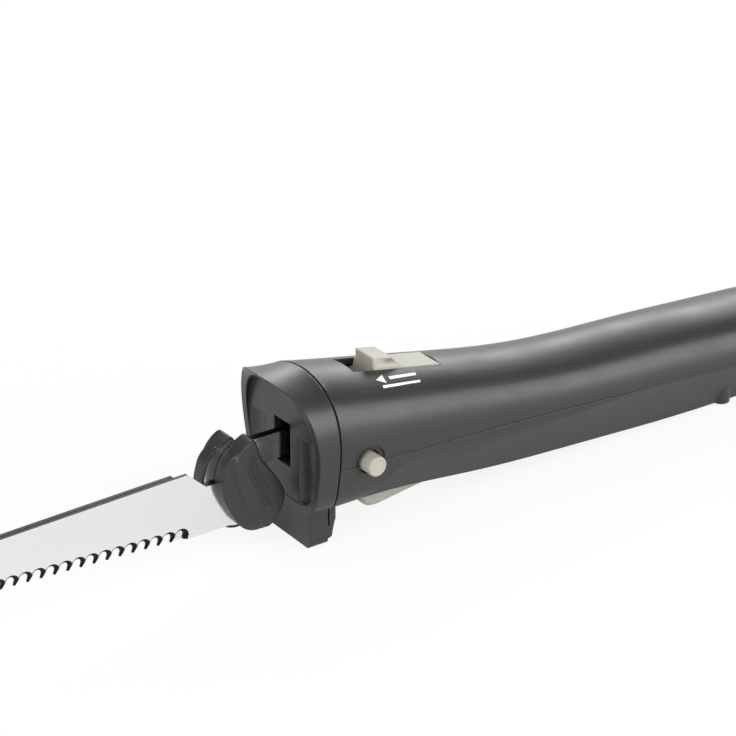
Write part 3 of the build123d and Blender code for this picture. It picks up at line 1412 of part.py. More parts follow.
def make_parts():
    """Every node of the knife by name, in seam coordinates."""
    blade_left = make_blade_left()
    bolster = make_bolster_left() - blade_left
    driver = make_driver_left()
    latch = make_latch_left()
    button = make_release_button_left()
    button_spring = make_button_spring_left()
    back = Pos(-rest_shift, 0, 0)
    ahead = Pos(rest_shift, 0, 0)
    return {
        "upper_housing": make_upper_housing(),
        "lower_housing": make_lower_housing(),
        "front_bezel": make_front_bezel(),
        "housing_screws": make_housing_screws(),
        "gear_frame": make_gear_frame(),
        "gear_axle": rod_y(-frame_outer_y, frame_outer_y, AXLE_RADIUS, WHEEL_X, WHEEL_Z),
        "rear_bush": make_bush(FRAME_REAR_X),
        "front_bush": make_bush(FRAME_STEP_X - BUSH_WALL),
        "motor_can": make_motor_can(),
        "field_magnets": make_field_magnets(),
        "motor_end_cap": make_motor_end_cap(),
        "carbon_brushes": make_carbon_brushes(),
        "switch_body": make_switch_body(),
        "rectifier_board": make_rectifier_board(),
        "slide_retainer": make_slide_retainer(),
        "trigger_pin": make_trigger_pin(),
        "cord_gland": make_cord_gland(),
        "cord_clamp": make_cord_clamp(),
        "clamp_screws": make_clamp_screws(),
        "motor_shaft": make_motor_shaft(),
        "rotor_core": make_rotor_core(),
        "rotor_windings": make_rotor_windings(),
        "commutator": make_commutator(),
        "cooling_fan": make_cooling_fan(),
        "worm": make_worm(),
        "worm_wheel": make_worm_wheel(),
        "crank_pins": Compound([turned(pin) for pin in crank_pin_solids()]),
        "driver_left": back * driver,
        "driver_right": ahead * mirrored(driver),
        "latch_left": back * latch,
        "latch_right": ahead * mirrored(latch),
        "blade_left": back * (blade_left - rod_y(0, OVERRUN, RIVET_RADIUS, RIVET_X, rivet_z())),
        "blade_right": ahead * make_blade_right(blade_left),
        "blade_rivet": back * make_blade_rivet(),
        "bolster_left": back * bolster,
        "bolster_right": ahead * mirrored(bolster),
        "safety_slide": make_safety_slide(),
        "trigger": make_trigger(),
        "trigger_spring": make_trigger_spring(),
        "switch_plunger": make_switch_plunger(),
        "release_button_left": button,
        "release_button_right": mirrored(button),
        "button_spring_left": button_spring,
        "button_spring_right": mirrored(button_spring),
    }


def main():
    """Builds every piece, moves it to the common origin and writes it."""
    os.makedirs("parts", exist_ok=True)
    for name, shape in make_parts().items():
        export_step(Pos(-x_origin, 0, 0) * shape, f"parts/{name}.step")
    print("origin at seam x", round(x_origin, 3))


main()
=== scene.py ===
import json
from math import cos, pi, radians, sin

import bmesh
import bpy
from bpy.props import FloatProperty, FloatVectorProperty, PointerProperty
from mathutils import Matrix, Vector
from mathutils.bvhtree import BVHTree

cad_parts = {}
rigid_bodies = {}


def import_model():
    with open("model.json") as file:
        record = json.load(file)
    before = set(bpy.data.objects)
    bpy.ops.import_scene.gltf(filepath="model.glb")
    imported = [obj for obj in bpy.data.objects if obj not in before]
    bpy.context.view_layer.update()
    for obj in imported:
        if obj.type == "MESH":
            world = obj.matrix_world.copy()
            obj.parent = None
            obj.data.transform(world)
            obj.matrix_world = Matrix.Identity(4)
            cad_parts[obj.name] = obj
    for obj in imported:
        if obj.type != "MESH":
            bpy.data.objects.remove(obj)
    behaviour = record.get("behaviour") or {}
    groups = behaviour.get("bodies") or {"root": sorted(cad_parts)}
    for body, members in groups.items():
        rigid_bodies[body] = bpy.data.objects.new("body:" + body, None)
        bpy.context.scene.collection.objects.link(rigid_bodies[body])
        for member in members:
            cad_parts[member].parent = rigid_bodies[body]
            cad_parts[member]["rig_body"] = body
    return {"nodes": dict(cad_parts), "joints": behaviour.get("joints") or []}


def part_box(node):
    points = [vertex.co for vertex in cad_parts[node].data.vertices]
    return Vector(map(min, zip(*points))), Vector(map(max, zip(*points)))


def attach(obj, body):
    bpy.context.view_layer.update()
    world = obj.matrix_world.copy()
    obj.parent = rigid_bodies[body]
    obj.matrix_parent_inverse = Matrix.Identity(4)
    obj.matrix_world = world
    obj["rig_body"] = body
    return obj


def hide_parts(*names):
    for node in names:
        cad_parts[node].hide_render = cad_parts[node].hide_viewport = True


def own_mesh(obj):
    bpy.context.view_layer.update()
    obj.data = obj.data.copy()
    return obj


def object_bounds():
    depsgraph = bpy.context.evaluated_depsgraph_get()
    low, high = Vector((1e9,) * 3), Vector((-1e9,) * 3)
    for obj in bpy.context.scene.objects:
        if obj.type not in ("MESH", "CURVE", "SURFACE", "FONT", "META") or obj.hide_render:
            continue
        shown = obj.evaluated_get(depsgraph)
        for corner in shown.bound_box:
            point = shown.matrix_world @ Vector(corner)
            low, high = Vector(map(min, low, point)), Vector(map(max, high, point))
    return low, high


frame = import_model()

bl_info = {
    "name": "Electric Carving Knife",
    "version": (1, 0, 0),
    "blender": (4, 5, 0),
    "location": "3D View > Sidebar > Carving Knife",
    "description": "Dresses the solids of an electric carving knife and sets up its studio",
    "category": "Object",
}

CAD_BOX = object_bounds()
MM = 0.001
SEAM_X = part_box("upper_housing")[1].x
# Distance within which the loose triangles' corners are joined
MERGE = 0.002 * MM

# Radius that a moulded edge seems to have, and the gap drawn at the seam before the bezel
EDGE_LOOK = 0.7 * MM
SEAM_OPENING = 0.4 * MM
# Place, in millimetres ahead of the seam, from which the blades' top and bottom faces are painted
# near-black as painted shade; behind it they keep the steel's colour
SPINE_SHADE_PAINTED_FROM = 52
# Corners of the printed marks on the housing's shoulder, in millimetres: x from the seam, y from the
# middle plane, and how far the print stands off the shell
ARROW = ((-23.7, 11.7), (-27.8, 9.4), (-27.1, 13.4))
BARS = (
    ((-29.9, 10.4), (-42.2, 9.6), (-41.7, 10.9), (-29.7, 11.9)),
    ((-24.6, 14.3), (-41.6, 13.2), (-41.3, 14.1), (-24.4, 15.4)),
)
PRINT_LIFT = 0.04 * MM
# First and last row of each column of grip dots, the place of the first column's first row, the way
# along a column, and the gap between columns as a share of the gap between dots
DOT_COLUMNS = ((3, 14), (1, 14), (0, 15), (0, 10))
DOT_START = (28.5, 36.3)
DOT_DOWN = (-0.38, -0.925)
COLUMN_SHARE = 0.86
# Radius of a screw's head, and the section of the wall round a rear counterbore, in millimetres:
# radius from the screw's axis, and height
SCREW_HEAD_RADIUS = 2.8
COUNTERBORE_WALL = (
    (3.02, 4.7), (3.02, 0.8), (3.15, 0.6), (3.55, 0.6), (3.75, 0.85), (3.75, 5.5), (3.02, 9.0),
)
# The slide's solid, in millimetres: a place on its sloping plate, the slope, and its thumb block
PLATE_PLACE = (-40.0, 54.2)
PLATE_SLOPE = 0.2
BLOCK_FOOT = 0.5
BLOCK_HEIGHT = 6.9
BLOCK_LENGTH = 8.8
BLOCK_FRONT_X = -28.3
BLOCK_REAR_X = -39.0
# How far forward the block's lowered top moves at its front, and how much more at its rear
BLOCK_SHIFT = (1.6, 0.4)
# Height from which the trigger's solid is kept as it is
TRIGGER_KEPT_FROM = 9 * MM
# The buttons' solids: where they leave the housing, their radius, and the radii that hold their rim
BUTTON_OUTSIDE_Y = 17.9 * MM
BUTTON_SOLID_RADIUS = 4.2 * MM
BUTTON_RIM = (3.4 * MM, 4.4 * MM)
DISH_RIM = 0.5 * MM
DISH_DEPTH = 0.25 * MM
# How far a button's spring is meant to shorten, and how far the trigger's spring is meant to shorten
# beyond the trigger; the springs do not use them
RELEASE_TRAVEL = 3.1 * MM
SPRING_CLEARANCE = 0.1 * MM

# Side of the picture in pixels, and the pixel at which the middle of the seam is seen
PICTURE_SIDE = 736
SEAM_PIXEL = (301.5, 435.0)
# Lamps: place from the middle of the seam and size, in metres, and power in watts
LAMPS = (
    ("key", (0.7, 0.55, 1.0), (0.8, 0.8), 7.0),
    ("front", (1.2, 0.2, 0.35), (0.8, 0.6), 6.0),
    ("side", (-0.62, 1.0, 0.42), (1.4, 0.8), 15.5),
    ("back", (-0.75, -0.85, 0.48), (1.2, 0.32), 7.5),
)
# Half the side of the floor in metres, and the gap under the knife
FLOOR_HALF_SIDE = 5.0
FLOOR_GAP = 0.2 * MM
# Share of the floor that is plain white to the camera, and of that share in reflections
FLOOR_GLOW = 0.86
FLOOR_MIRRORED = 0.5
WORLD_STRENGTH = 0.42


def at(x, y, z):
    """Point given in millimetres from the seam of the housing, in the frame's metres."""
    return Vector((SEAM_X + x * MM, y * MM, z * MM))


SEAM_MIDDLE = at(0, 0, 36)


# Materials


class Finish:
    """One procedural material and its node tree, read in object coordinates."""

    def __init__(self, name, colour, roughness, metallic=0.0):
        self.material = bpy.data.materials.new(name)
        self.material.use_nodes = True
        self.tree = self.material.node_tree
        self.shader = self.tree.nodes["Principled BSDF"]
        self.shader.inputs["Roughness"].default_value = roughness
        self.shader.inputs["Metallic"].default_value = metallic
        self.shader.inputs["Base Color"].default_value = (*colour, 1.0)
        self.coords = self.tree.nodes.new("ShaderNodeTexCoord")
        self.height = None

    def link(self, source, target):
        self.tree.links.new(source, target)

    def mapped(self, scale):
        """Object coordinates stretched by a scale along each axis."""
        mapping = self.tree.nodes.new("ShaderNodeMapping")
        mapping.inputs["Scale"].default_value = scale
        self.link(self.coords.outputs["Object"], mapping.inputs["Vector"])
        return mapping.outputs["Vector"]

    def rounded(self, radius):
        """Normals rolled over sharp edges, as on a moulding."""
        node = self.tree.nodes.new("ShaderNodeBevel")
        node.samples = 6
        node.inputs["Radius"].default_value = radius
        self.height = node.outputs["Normal"]
        self.link(self.height, self.shader.inputs["Normal"])
        return self

    def noise(self, scale, detail=2.0, stretch=(1.0, 1.0, 1.0)):
        """Soft noise, with a stretch along each axis."""
        node = self.tree.nodes.new("ShaderNodeTexNoise")
        node.inputs["Scale"].default_value = scale
        node.inputs["Detail"].default_value = detail
        self.link(self.mapped(stretch), node.inputs["Vector"])
        return node.outputs["Fac"]

    def between(self, source, low, high, low_in=0.3, high_in=0.7):
        """A source stretched from one span of values to another."""
        node = self.tree.nodes.new("ShaderNodeMapRange")
        for socket, value in (
            ("From Min", low_in), ("From Max", high_in), ("To Min", low), ("To Max", high)
        ):
            node.inputs[socket].default_value = value
        self.link(source, node.inputs["Value"])
        return node.outputs["Result"]

    def both(self, first, second):
        """Product of two masks."""
        node = self.tree.nodes.new("ShaderNodeMath")
        node.operation = "MULTIPLY"
        self.link(first, node.inputs[0])
        self.link(second, node.inputs[1])
        return node.outputs[0]

    def facing(self, axis, low, high):
        """Mask that runs from 0 to 1 as a face's normal along an axis goes from low to high."""
        geometry = self.tree.nodes.new("ShaderNodeNewGeometry")
        axes = self.tree.nodes.new("ShaderNodeSeparateXYZ")
        self.link(geometry.outputs["Normal"], axes.inputs[0])
        size = self.tree.nodes.new("ShaderNodeMath")
        size.operation = "ABSOLUTE"
        self.link(axes.outputs[axis], size.inputs[0])
        return self.between(size.outputs[0], 0.0, 1.0, low, high)

    def ahead_of(self, x):
        """Mask of what lies forward of a place along the knife."""
        axes = self.tree.nodes.new("ShaderNodeSeparateXYZ")
        self.link(self.coords.outputs["Object"], axes.inputs[0])
        return self.between(axes.outputs["X"], 0.0, 1.0, x, x + MM)

    def blended(self, mask, source, value):
        """A source's value outside a mask, and one value inside it."""
        node = self.tree.nodes.new("ShaderNodeMix")
        self.link(mask, node.inputs[0])
        self.link(source, node.inputs[2])
        node.inputs[3].default_value = value
        return node.outputs[0]

    def rough(self, source, low, high, low_in=0.3, high_in=0.7):
        """Roughness that wanders between two values."""
        self.link(self.between(source, low, high, low_in, high_in), self.shader.inputs["Roughness"])
        return self

    def tint(self, source, dark, light, low_in=0.3, high_in=0.7):
        """Colour that wanders between two colours, or from the colour so far to another."""
        node = self.tree.nodes.new("ShaderNodeMix")
        node.data_type = "RGBA"
        if dark is None:
            self.link(self.shader.inputs["Base Color"].links[0].from_socket, node.inputs[6])
        else:
            node.inputs[6].default_value = (*dark, 1.0)
        node.inputs[7].default_value = (*light, 1.0)
        self.link(self.between(source, 0.0, 1.0, low_in, high_in), node.inputs[0])
        self.link(node.outputs[2], self.shader.inputs["Base Color"])
        return self

    def bump(self, source, strength, depth):
        """Fine relief, laid over any relief that is there already."""
        node = self.tree.nodes.new("ShaderNodeBump")
        node.inputs["Strength"].default_value = strength
        node.inputs["Distance"].default_value = depth
        self.link(source, node.inputs["Height"])
        if self.height is not None:
            self.link(self.height, node.inputs["Normal"])
        self.height = node.outputs["Normal"]
        self.link(self.height, self.shader.inputs["Normal"])
        return self


def shade(colour, factor):
    """A colour made darker or lighter."""
    return tuple(c * factor for c in colour)


def moulded(name, colour, roughness, grain=2400.0, relief=0.12):
    """Satin moulded plastic with a fine spark-eroded grain and a little handling shine."""
    f = Finish(name, colour, roughness).rounded(EDGE_LOOK)
    f.rough(f.noise(55.0, 4.0), roughness - 0.04, roughness + 0.05)
    f.tint(f.noise(18.0, 3.0), shade(colour, 0.93), shade(colour, 1.06))
    f.bump(f.noise(grain, 2.0), relief, 0.00004)
    f.bump(f.noise(32.0, 1.0), 0.04, 0.0003)
    return f.material


def ground_steel(name, colour, roughness, grain, edge, painted_spine_shade_from, painted_spine_shade):
    """Metal polished along its length, with faint streaks and rougher narrow faces. Its narrow faces
    and gullet bevels are tinted near-black as a painted dark reflection, and its top and bottom faces
    forward of a place are tinted near-black as painted shade.
    """
    f = Finish(name, colour, roughness, 1.0)
    streaks = f.noise(1.0, 3.0, grain)
    # Mask of the top and bottom faces forward of a place, which get painted shade
    painted_spine_shade_mask = f.both(f.facing("Z", 0.5, 0.8), f.ahead_of(painted_spine_shade_from))
    # Faces turned away from the flat sides: rougher as unpolished steel, and tinted near-black as a
    # painted dark reflection
    dull_edge_and_painted_reflection = f.facing("Y", 0.985, 0.93)
    flat = f.between(streaks, roughness - 0.03, roughness + 0.04)
    f.rough(f.blended(dull_edge_and_painted_reflection, flat, 0.34), 0.0, 1.0, 0.0, 1.0)
    # The edge colour is a painted dark reflection on the narrow faces and gullet bevels; the next tint
    # is painted shade on the top and bottom faces
    f.tint(dull_edge_and_painted_reflection, colour, edge, 0.0, 1.0)
    f.tint(painted_spine_shade_mask, None, painted_spine_shade, 0.0, 1.0)
    f.bump(f.noise(420.0, 2.0), 0.008, 0.00001)
    return f.material


def plain_metal(name, colour, roughness):
    """Turned or pressed metal with faint mottling."""
    f = Finish(name, colour, roughness, 1.0)
    f.rough(f.noise(260.0, 4.0), roughness - 0.06, roughness + 0.1)
    f.bump(f.noise(1800.0, 2.0), 0.06, 0.00003)
    return f.material


def wound_copper(name, colour):
    """Enamelled wire laid in turns, with painted shade darkening the bands between the turns."""
    f = Finish(name, colour, 0.32, 1.0)
    wave = f.tree.nodes.new("ShaderNodeTexWave")
    wave.wave_type = "RINGS"
    wave.rings_direction = "X"
    wave.inputs["Scale"].default_value = 620.0
    wave.inputs["Distortion"].default_value = 0.6
    f.link(f.mapped((1.0, 1.0, 1.0)), wave.inputs["Vector"])
    # Painted shade: the wire's colour darkened in bands between the turns
    f.tint(wave.outputs["Fac"], shade(colour, 0.55), colour)
    f.bump(wave.outputs["Fac"], 0.5, 0.0002)
    return f.material


def laminate(name, colour):
    """Pressed paper board with a fibrous speckle."""
    f = Finish(name, colour, 0.55)
    f.tint(f.noise(900.0, 4.0), shade(colour, 0.7), shade(colour, 1.25))
    f.bump(f.noise(1500.0, 3.0), 0.2, 0.0001)
    return f.material


def soft_rubber(name, colour):
    """Dull rubber with a powdery surface."""
    f = Finish(name, colour, 0.62)
    f.rough(f.noise(120.0, 4.0), 0.55, 0.72)
    f.tint(f.noise(240.0, 3.0), shade(colour, 0.85), shade(colour, 1.2))
    f.bump(f.noise(1300.0, 3.0), 0.25, 0.0001)
    return f.material


# Settings


class KnifeFinishes(bpy.types.PropertyGroup):
    """Colours and gloss of the knife's pieces."""

    housing: FloatVectorProperty(
        name="Housing", description="Black plastic of the housing and the bolsters",
        subtype="COLOR", size=3, min=0.0, max=1.0, default=(0.017, 0.017, 0.018),
    )
    housing_roughness: FloatProperty(
        name="Housing roughness", description="Roughness of the black plastic",
        subtype="FACTOR", min=0.0, max=1.0, default=0.36,
    )
    controls: FloatVectorProperty(
        name="Controls", description="Cream-grey plastic of the slide, the trigger and the buttons",
        subtype="COLOR", size=3, min=0.0, max=1.0, default=(0.37, 0.36, 0.30),
    )
    blades: FloatVectorProperty(
        name="Blades", description="Polished steel of the blades",
        subtype="COLOR", size=3, min=0.0, max=1.0, default=(0.80, 0.80, 0.815),
    )
    blade_roughness: FloatProperty(
        name="Blade roughness", description="Roughness of the blades' flat sides",
        subtype="FACTOR", min=0.0, max=1.0, default=0.17,
    )
    marking: FloatVectorProperty(
        name="Marking", description="Printed arrow beside the safety slide",
        subtype="COLOR", size=3, min=0.0, max=1.0, default=(0.82, 0.82, 0.80),
    )


class KnifeDetails(bpy.types.PropertyGroup):
    """Sizes of the small forms laid on the solids."""

    dot_radius: FloatProperty(
        name="Grip dot radius", description="Radius of a raised dot on the finger pads",
        subtype="DISTANCE", unit="LENGTH", min=0.0001, default=0.0005,
    )
    dot_height: FloatProperty(
        name="Grip dot height", description="How far a dot stands above its pad",
        subtype="DISTANCE", unit="LENGTH", min=0.0001, default=0.0003,
    )
    dot_pitch: FloatProperty(
        name="Grip dot pitch", description="Distance between dots along a column",
        subtype="DISTANCE", unit="LENGTH", min=0.0005, default=0.00145,
    )
    slide_height: FloatProperty(
        name="Slide height", description="How far the slide's thumb block stands above its plate",
        subtype="DISTANCE", unit="LENGTH", min=0.001, default=0.0043,
    )
    button_radius: FloatProperty(
        name="Button radius", description="Radius of a release button outside the housing",
        subtype="DISTANCE", unit="LENGTH", min=0.001, default=0.0037,
    )
    trigger_drop: FloatProperty(
        name="Trigger drop", description="How far the trigger's bar is drawn down below its solid",
        subtype="DISTANCE", unit="LENGTH", min=0.0, default=0.0031,
    )


class KnifeStudio(bpy.types.PropertyGroup):
    """Floor, lights and camera."""

    floor: FloatVectorProperty(
        name="Floor", description="Colour of the floor",
        subtype="COLOR", size=3, min=0.0, max=1.0, default=(0.86, 0.86, 0.86),
    )
    azimuth: FloatProperty(
        name="Azimuth", description="Direction of the camera round the knife",
        subtype="ANGLE", unit="ROTATION", default=radians(144.8),
    )
    elevation: FloatProperty(
        name="Elevation", description="Height of the camera above the horizon",
        subtype="ANGLE", unit="ROTATION", default=radians(25.4),
    )
    distance: FloatProperty(
        name="Distance", description="Distance from the camera to the seam of the housing",
        subtype="DISTANCE", unit="LENGTH", min=0.1, default=0.85,
    )
    lens: FloatProperty(
        name="Lens", description="Focal length of the camera on a 36 mm sensor, in millimetres",
        subtype="DISTANCE_CAMERA", min=10.0, default=118.47,
    )


def finishes():
    return bpy.context.scene.knife_finishes


def details():
    return bpy.context.scene.knife_details


# Mesh helpers


def finished(mesh_builder, name, material, body, nodes=()):
    """Turns a bmesh into an object at the origin, with its material and body, and hides the nodes it
    stands for.
    """
    mesh = bpy.data.meshes.new(name)
    mesh_builder.to_mesh(mesh)
    mesh_builder.free()
    mesh.materials.append(material)
    piece = bpy.data.objects.new(name, mesh)
    bpy.context.scene.collection.objects.link(piece)
    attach(piece, body)
    if nodes:
        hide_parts(*nodes)
    return piece


def merged(node):
    """A node's mesh copied, with its loose triangles joined."""
    shape = bmesh.new()
    shape.from_mesh(frame["nodes"][node].data)
    bmesh.ops.remove_doubles(shape, verts=shape.verts, dist=MERGE)
    return shape


def soften(shape, angle):
    """Smooth shading, broken at edges sharper than an angle."""
    for face in shape.faces:
        face.smooth = True
    for edge in shape.edges:
        edge.smooth = edge.is_manifold and edge.calc_face_angle(pi) < angle


def smooth_copy(node, name, material, angle=radians(28), change=None):
    """The node's own shape, merged and smoothly shaded, after a change where one is given."""
    shape = merged(node)
    if change is not None:
        change(shape)
    soften(shape, angle)
    body = frame["nodes"][node]["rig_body"]
    return finished(shape, name, material, body, (node,))


def paint(node, material):
    """Gives a node of the frame its material."""
    for place in frame["nodes"][node].material_slots:
        place.material = material


def skin_of(node):
    """Search tree of a node's surface."""
    shape = merged(node)
    tree = BVHTree.FromBMesh(shape)
    shape.free()
    return tree


def laid_on(skin, x, y, lift):
    """Point of a surface straight under a place, in metres, raised by a little."""
    place, normal, _, _ = skin.ray_cast(Vector((x, y, CAD_BOX[1].z + MM)), Vector((0.0, 0.0, -1.0)))
    return place + normal * lift


# Operators


class CARVER_OT_inner(bpy.types.Operator):
    """Gives the drive, the motor, the switch and the fasteners their materials"""

    bl_idname = "carver.inner"
    bl_label = "Dress the inner pieces"

    def execute(self, context):
        steel = plain_metal("bright_steel", (0.55, 0.55, 0.56), 0.28)
        plated = plain_metal("plated_steel", (0.42, 0.42, 0.43), 0.4)
        bronze = plain_metal("sintered_bronze", (0.55, 0.38, 0.20), 0.42)
        copper = wound_copper("enamelled_copper", (0.66, 0.33, 0.17))
        natural = moulded("natural_plastic", (0.66, 0.65, 0.60), 0.45)
        gear = moulded("gear_plastic", (0.72, 0.70, 0.58), 0.38)
        dark = moulded("switch_plastic", (0.04, 0.04, 0.045), 0.42)
        carrier = moulded("carrier_plastic", tuple(finishes().controls), 0.42)
        board = laminate("paper_board", (0.30, 0.20, 0.09))
        carbon = soft_rubber("brush_carbon", (0.03, 0.03, 0.03))
        magnet = soft_rubber("ferrite", (0.06, 0.06, 0.065))
        for material, nodes in (
            (steel, ("housing_screws", "gear_axle", "trigger_pin", "clamp_screws", "motor_shaft",
                     "worm", "crank_pins", "latch_left", "latch_right", "blade_rivet")),
            (plated, ("motor_can", "rotor_core")),
            (bronze, ("rear_bush", "front_bush")),
            (copper, ("rotor_windings", "commutator")),
            (natural, ("gear_frame", "slide_retainer", "cord_clamp", "cooling_fan")),
            (gear, ("worm_wheel",)),
            (dark, ("motor_end_cap", "switch_body")),
            (carrier, ("driver_left", "driver_right", "switch_plunger")),
            (board, ("rectifier_board",)),
            (carbon, ("carbon_brushes",)),
            (magnet, ("field_magnets",)),
        ):
            for node in nodes:
                paint(node, material)
        wire = plain_metal("spring_wire", (0.50, 0.50, 0.51), 0.3)
        for side, outwards in (("left", 1.0), ("right", -1.0)):
            joint = side + "_release"
            self.coil("button_spring_" + side, wire, joint, Vector((0, outwards, 0)), RELEASE_TRAVEL)
        self.coil("trigger_spring", wire, "trigger_press", Vector((0, 0, -1.0)), self.trigger_travel())
        return {"FINISHED"}

    @staticmethod
    def coil(node, material, joint, loose_end, travel):
        """A spring copied from its solid and smoothly shaded, with a mesh of its own."""
        spring = smooth_copy(node, node + "_wire", material, radians(60))
        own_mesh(spring)

    @staticmethod
    def trigger_travel():
        """How far the trigger rises under its spring at the end of the press."""
        joint = next(j for j in frame["joints"] if j["name"] == "trigger_press")
        low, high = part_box("trigger_spring")
        reach = max(abs(low.x - joint["pos_m"][0]), abs(high.x - joint["pos_m"][0]))
        return reach * sin(radians(joint["range_deg"][1])) + SPRING_CLEARANCE


class CARVER_OT_housing(bpy.types.Operator):
    """Makes the housing's two shells and the front bezel from their solids, smoothly shaded"""

    bl_idname = "carver.housing"
    bl_label = "Dress the housing"

    def execute(self, context):
        f = finishes()
        black = moulded("moulded_black", tuple(f.housing), f.housing_roughness)
        smooth_copy("upper_housing", "housing_top", black, change=self.open_seam)
        smooth_copy("lower_housing", "housing_base", black, change=self.wall_screws)
        smooth_copy("front_bezel", "bezel", black)
        rubber = soft_rubber("gland_rubber", (0.018, 0.018, 0.018))
        smooth_copy("cord_gland", "gland", rubber)
        self.mark(moulded("printed_white", tuple(f.marking), 0.5))
        return {"FINISHED"}

    @staticmethod
    def open_seam(shape):
        """Draws the shell's front end back a little, so that the joint to the bezel shows."""
        for vert in shape.verts:
            if vert.co.x > SEAM_X - 0.02 * MM:
                vert.co.x -= SEAM_OPENING

    @classmethod
    def wall_screws(cls, shape):
        """Opens the seam and gives the counterbores of the two rear screws a wall of their own."""
        cls.open_seam(shape)
        low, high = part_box("housing_screws")
        head = SCREW_HEAD_RADIUS * MM
        for side in (-1.0, 1.0):
            shell = set(shape.faces)
            axis = Vector((low.x + head, side * (high.y - head), 0.0))
            ring = [
                shape.verts.new(axis + Vector((radius * MM, 0.0, height * MM)))
                for radius, height in COUNTERBORE_WALL
            ]
            edges = [shape.edges.new(pair) for pair in zip(ring, ring[1:] + ring[:1])]
            bmesh.ops.spin(
                shape, geom=ring + edges, cent=axis, axis=(0.0, 0.0, 1.0), angle=2 * pi, steps=40,
                use_merge=True,
            )
            wall = [face for face in shape.faces if face not in shell]
            corners = list({vert for face in wall for vert in face.verts})
            bmesh.ops.remove_doubles(shape, verts=corners, dist=MERGE)
            wall = [face for face in shape.faces if face not in shell]
            bmesh.ops.recalc_face_normals(shape, faces=wall)

    @staticmethod
    def mark(material):
        """Printed arrow and two bars on the shoulder beside the safety slide."""
        skin = skin_of("upper_housing")
        shape = bmesh.new()
        tip, top, low = (shape.verts.new((*corner, 0.0)) for corner in ARROW)
        shape.faces.new((tip, low, top))
        bmesh.ops.subdivide_edges(shape, edges=shape.edges, cuts=3, use_grid_fill=True)
        for bar in BARS:
            grid = bmesh.ops.create_grid(shape, x_segments=16, y_segments=3, size=0.5)
            for vert in grid["verts"]:
                along, across = vert.co.x + 0.5, vert.co.y + 0.5
                left = Vector(bar[0]).lerp(Vector(bar[3]), across)
                right = Vector(bar[1]).lerp(Vector(bar[2]), across)
                vert.co.xy = left.lerp(right, along)
        for vert in shape.verts:
            vert.co = laid_on(skin, SEAM_X + vert.co.x * MM, vert.co.y * MM, PRINT_LIFT)
        bmesh.ops.recalc_face_normals(shape, faces=shape.faces)
        if next(iter(shape.faces)).normal.z < 0:
            bmesh.ops.reverse_faces(shape, faces=shape.faces)
        finished(shape, "slide_marking", material, "handle")


class CARVER_OT_blades(bpy.types.Operator):
    """Gives the blades their polished sides, with painted dark reflection on the narrow faces and
    gullet bevels and painted shade along the top and bottom faces
    """

    bl_idname = "carver.blades"
    bl_label = "Dress the blades"

    def execute(self, context):
        f = finishes()
        # The near-black colours are painted: a dark reflection on the narrow faces and gullet bevels,
        # and shade on the top and bottom faces forward of a place
        steel = ground_steel(
            "blade_steel", tuple(f.blades), f.blade_roughness, (30.0, 200.0, 700.0),
            (0.016, 0.016, 0.017), SEAM_X + SPINE_SHADE_PAINTED_FROM * MM, (0.012, 0.012, 0.013),
        )
        for node in ("blade_left", "blade_right"):
            paint(node, steel)
        return {"FINISHED"}


class CARVER_OT_bolsters(bpy.types.Operator):
    """Makes the bolsters with their finger pads and raised dots"""

    bl_idname = "carver.bolsters"
    bl_label = "Dress the bolsters"

    def execute(self, context):
        f = finishes()
        black = moulded("bolster_black", tuple(f.housing), f.housing_roughness + 0.04)
        for side in ("left", "right"):
            smooth_copy("bolster_" + side, "finger_guard_" + side, black, radians(35))
            self.dots(side, black)
        return {"FINISHED"}

    @staticmethod
    def dots(side, material):
        """Raised dots in slanting columns on one finger pad."""
        d = details()
        low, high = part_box("bolster_" + side)
        outwards = 1.0 if side == "left" else -1.0
        face = high.y if side == "left" else low.y
        ahead = low.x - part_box("bolster_left")[0].x
        down = Vector((DOT_DOWN[0], 0.0, DOT_DOWN[1]))
        across = Vector((DOT_DOWN[1], 0.0, -DOT_DOWN[0]))
        start = at(DOT_START[0], 0.0, DOT_START[1]) + Vector((ahead, face, 0.0))
        turn = Matrix.Rotation(-outwards * pi / 2, 4, "X")
        shape = bmesh.new()
        for column, (first, last) in enumerate(DOT_COLUMNS):
            for row in range(first, last + 1):
                place = start + down * (row * d.dot_pitch)
                place += across * (column * d.dot_pitch * COLUMN_SHARE)
                place.y += outwards * d.dot_height * 0.3
                bmesh.ops.create_cone(
                    shape, cap_ends=True, segments=8, radius1=d.dot_radius, radius2=d.dot_radius * 0.55,
                    depth=d.dot_height * 1.4, matrix=Matrix.Translation(place) @ turn,
                )
        soften(shape, radians(30))
        finished(shape, "grip_dots_" + side, material, side + "_blade")


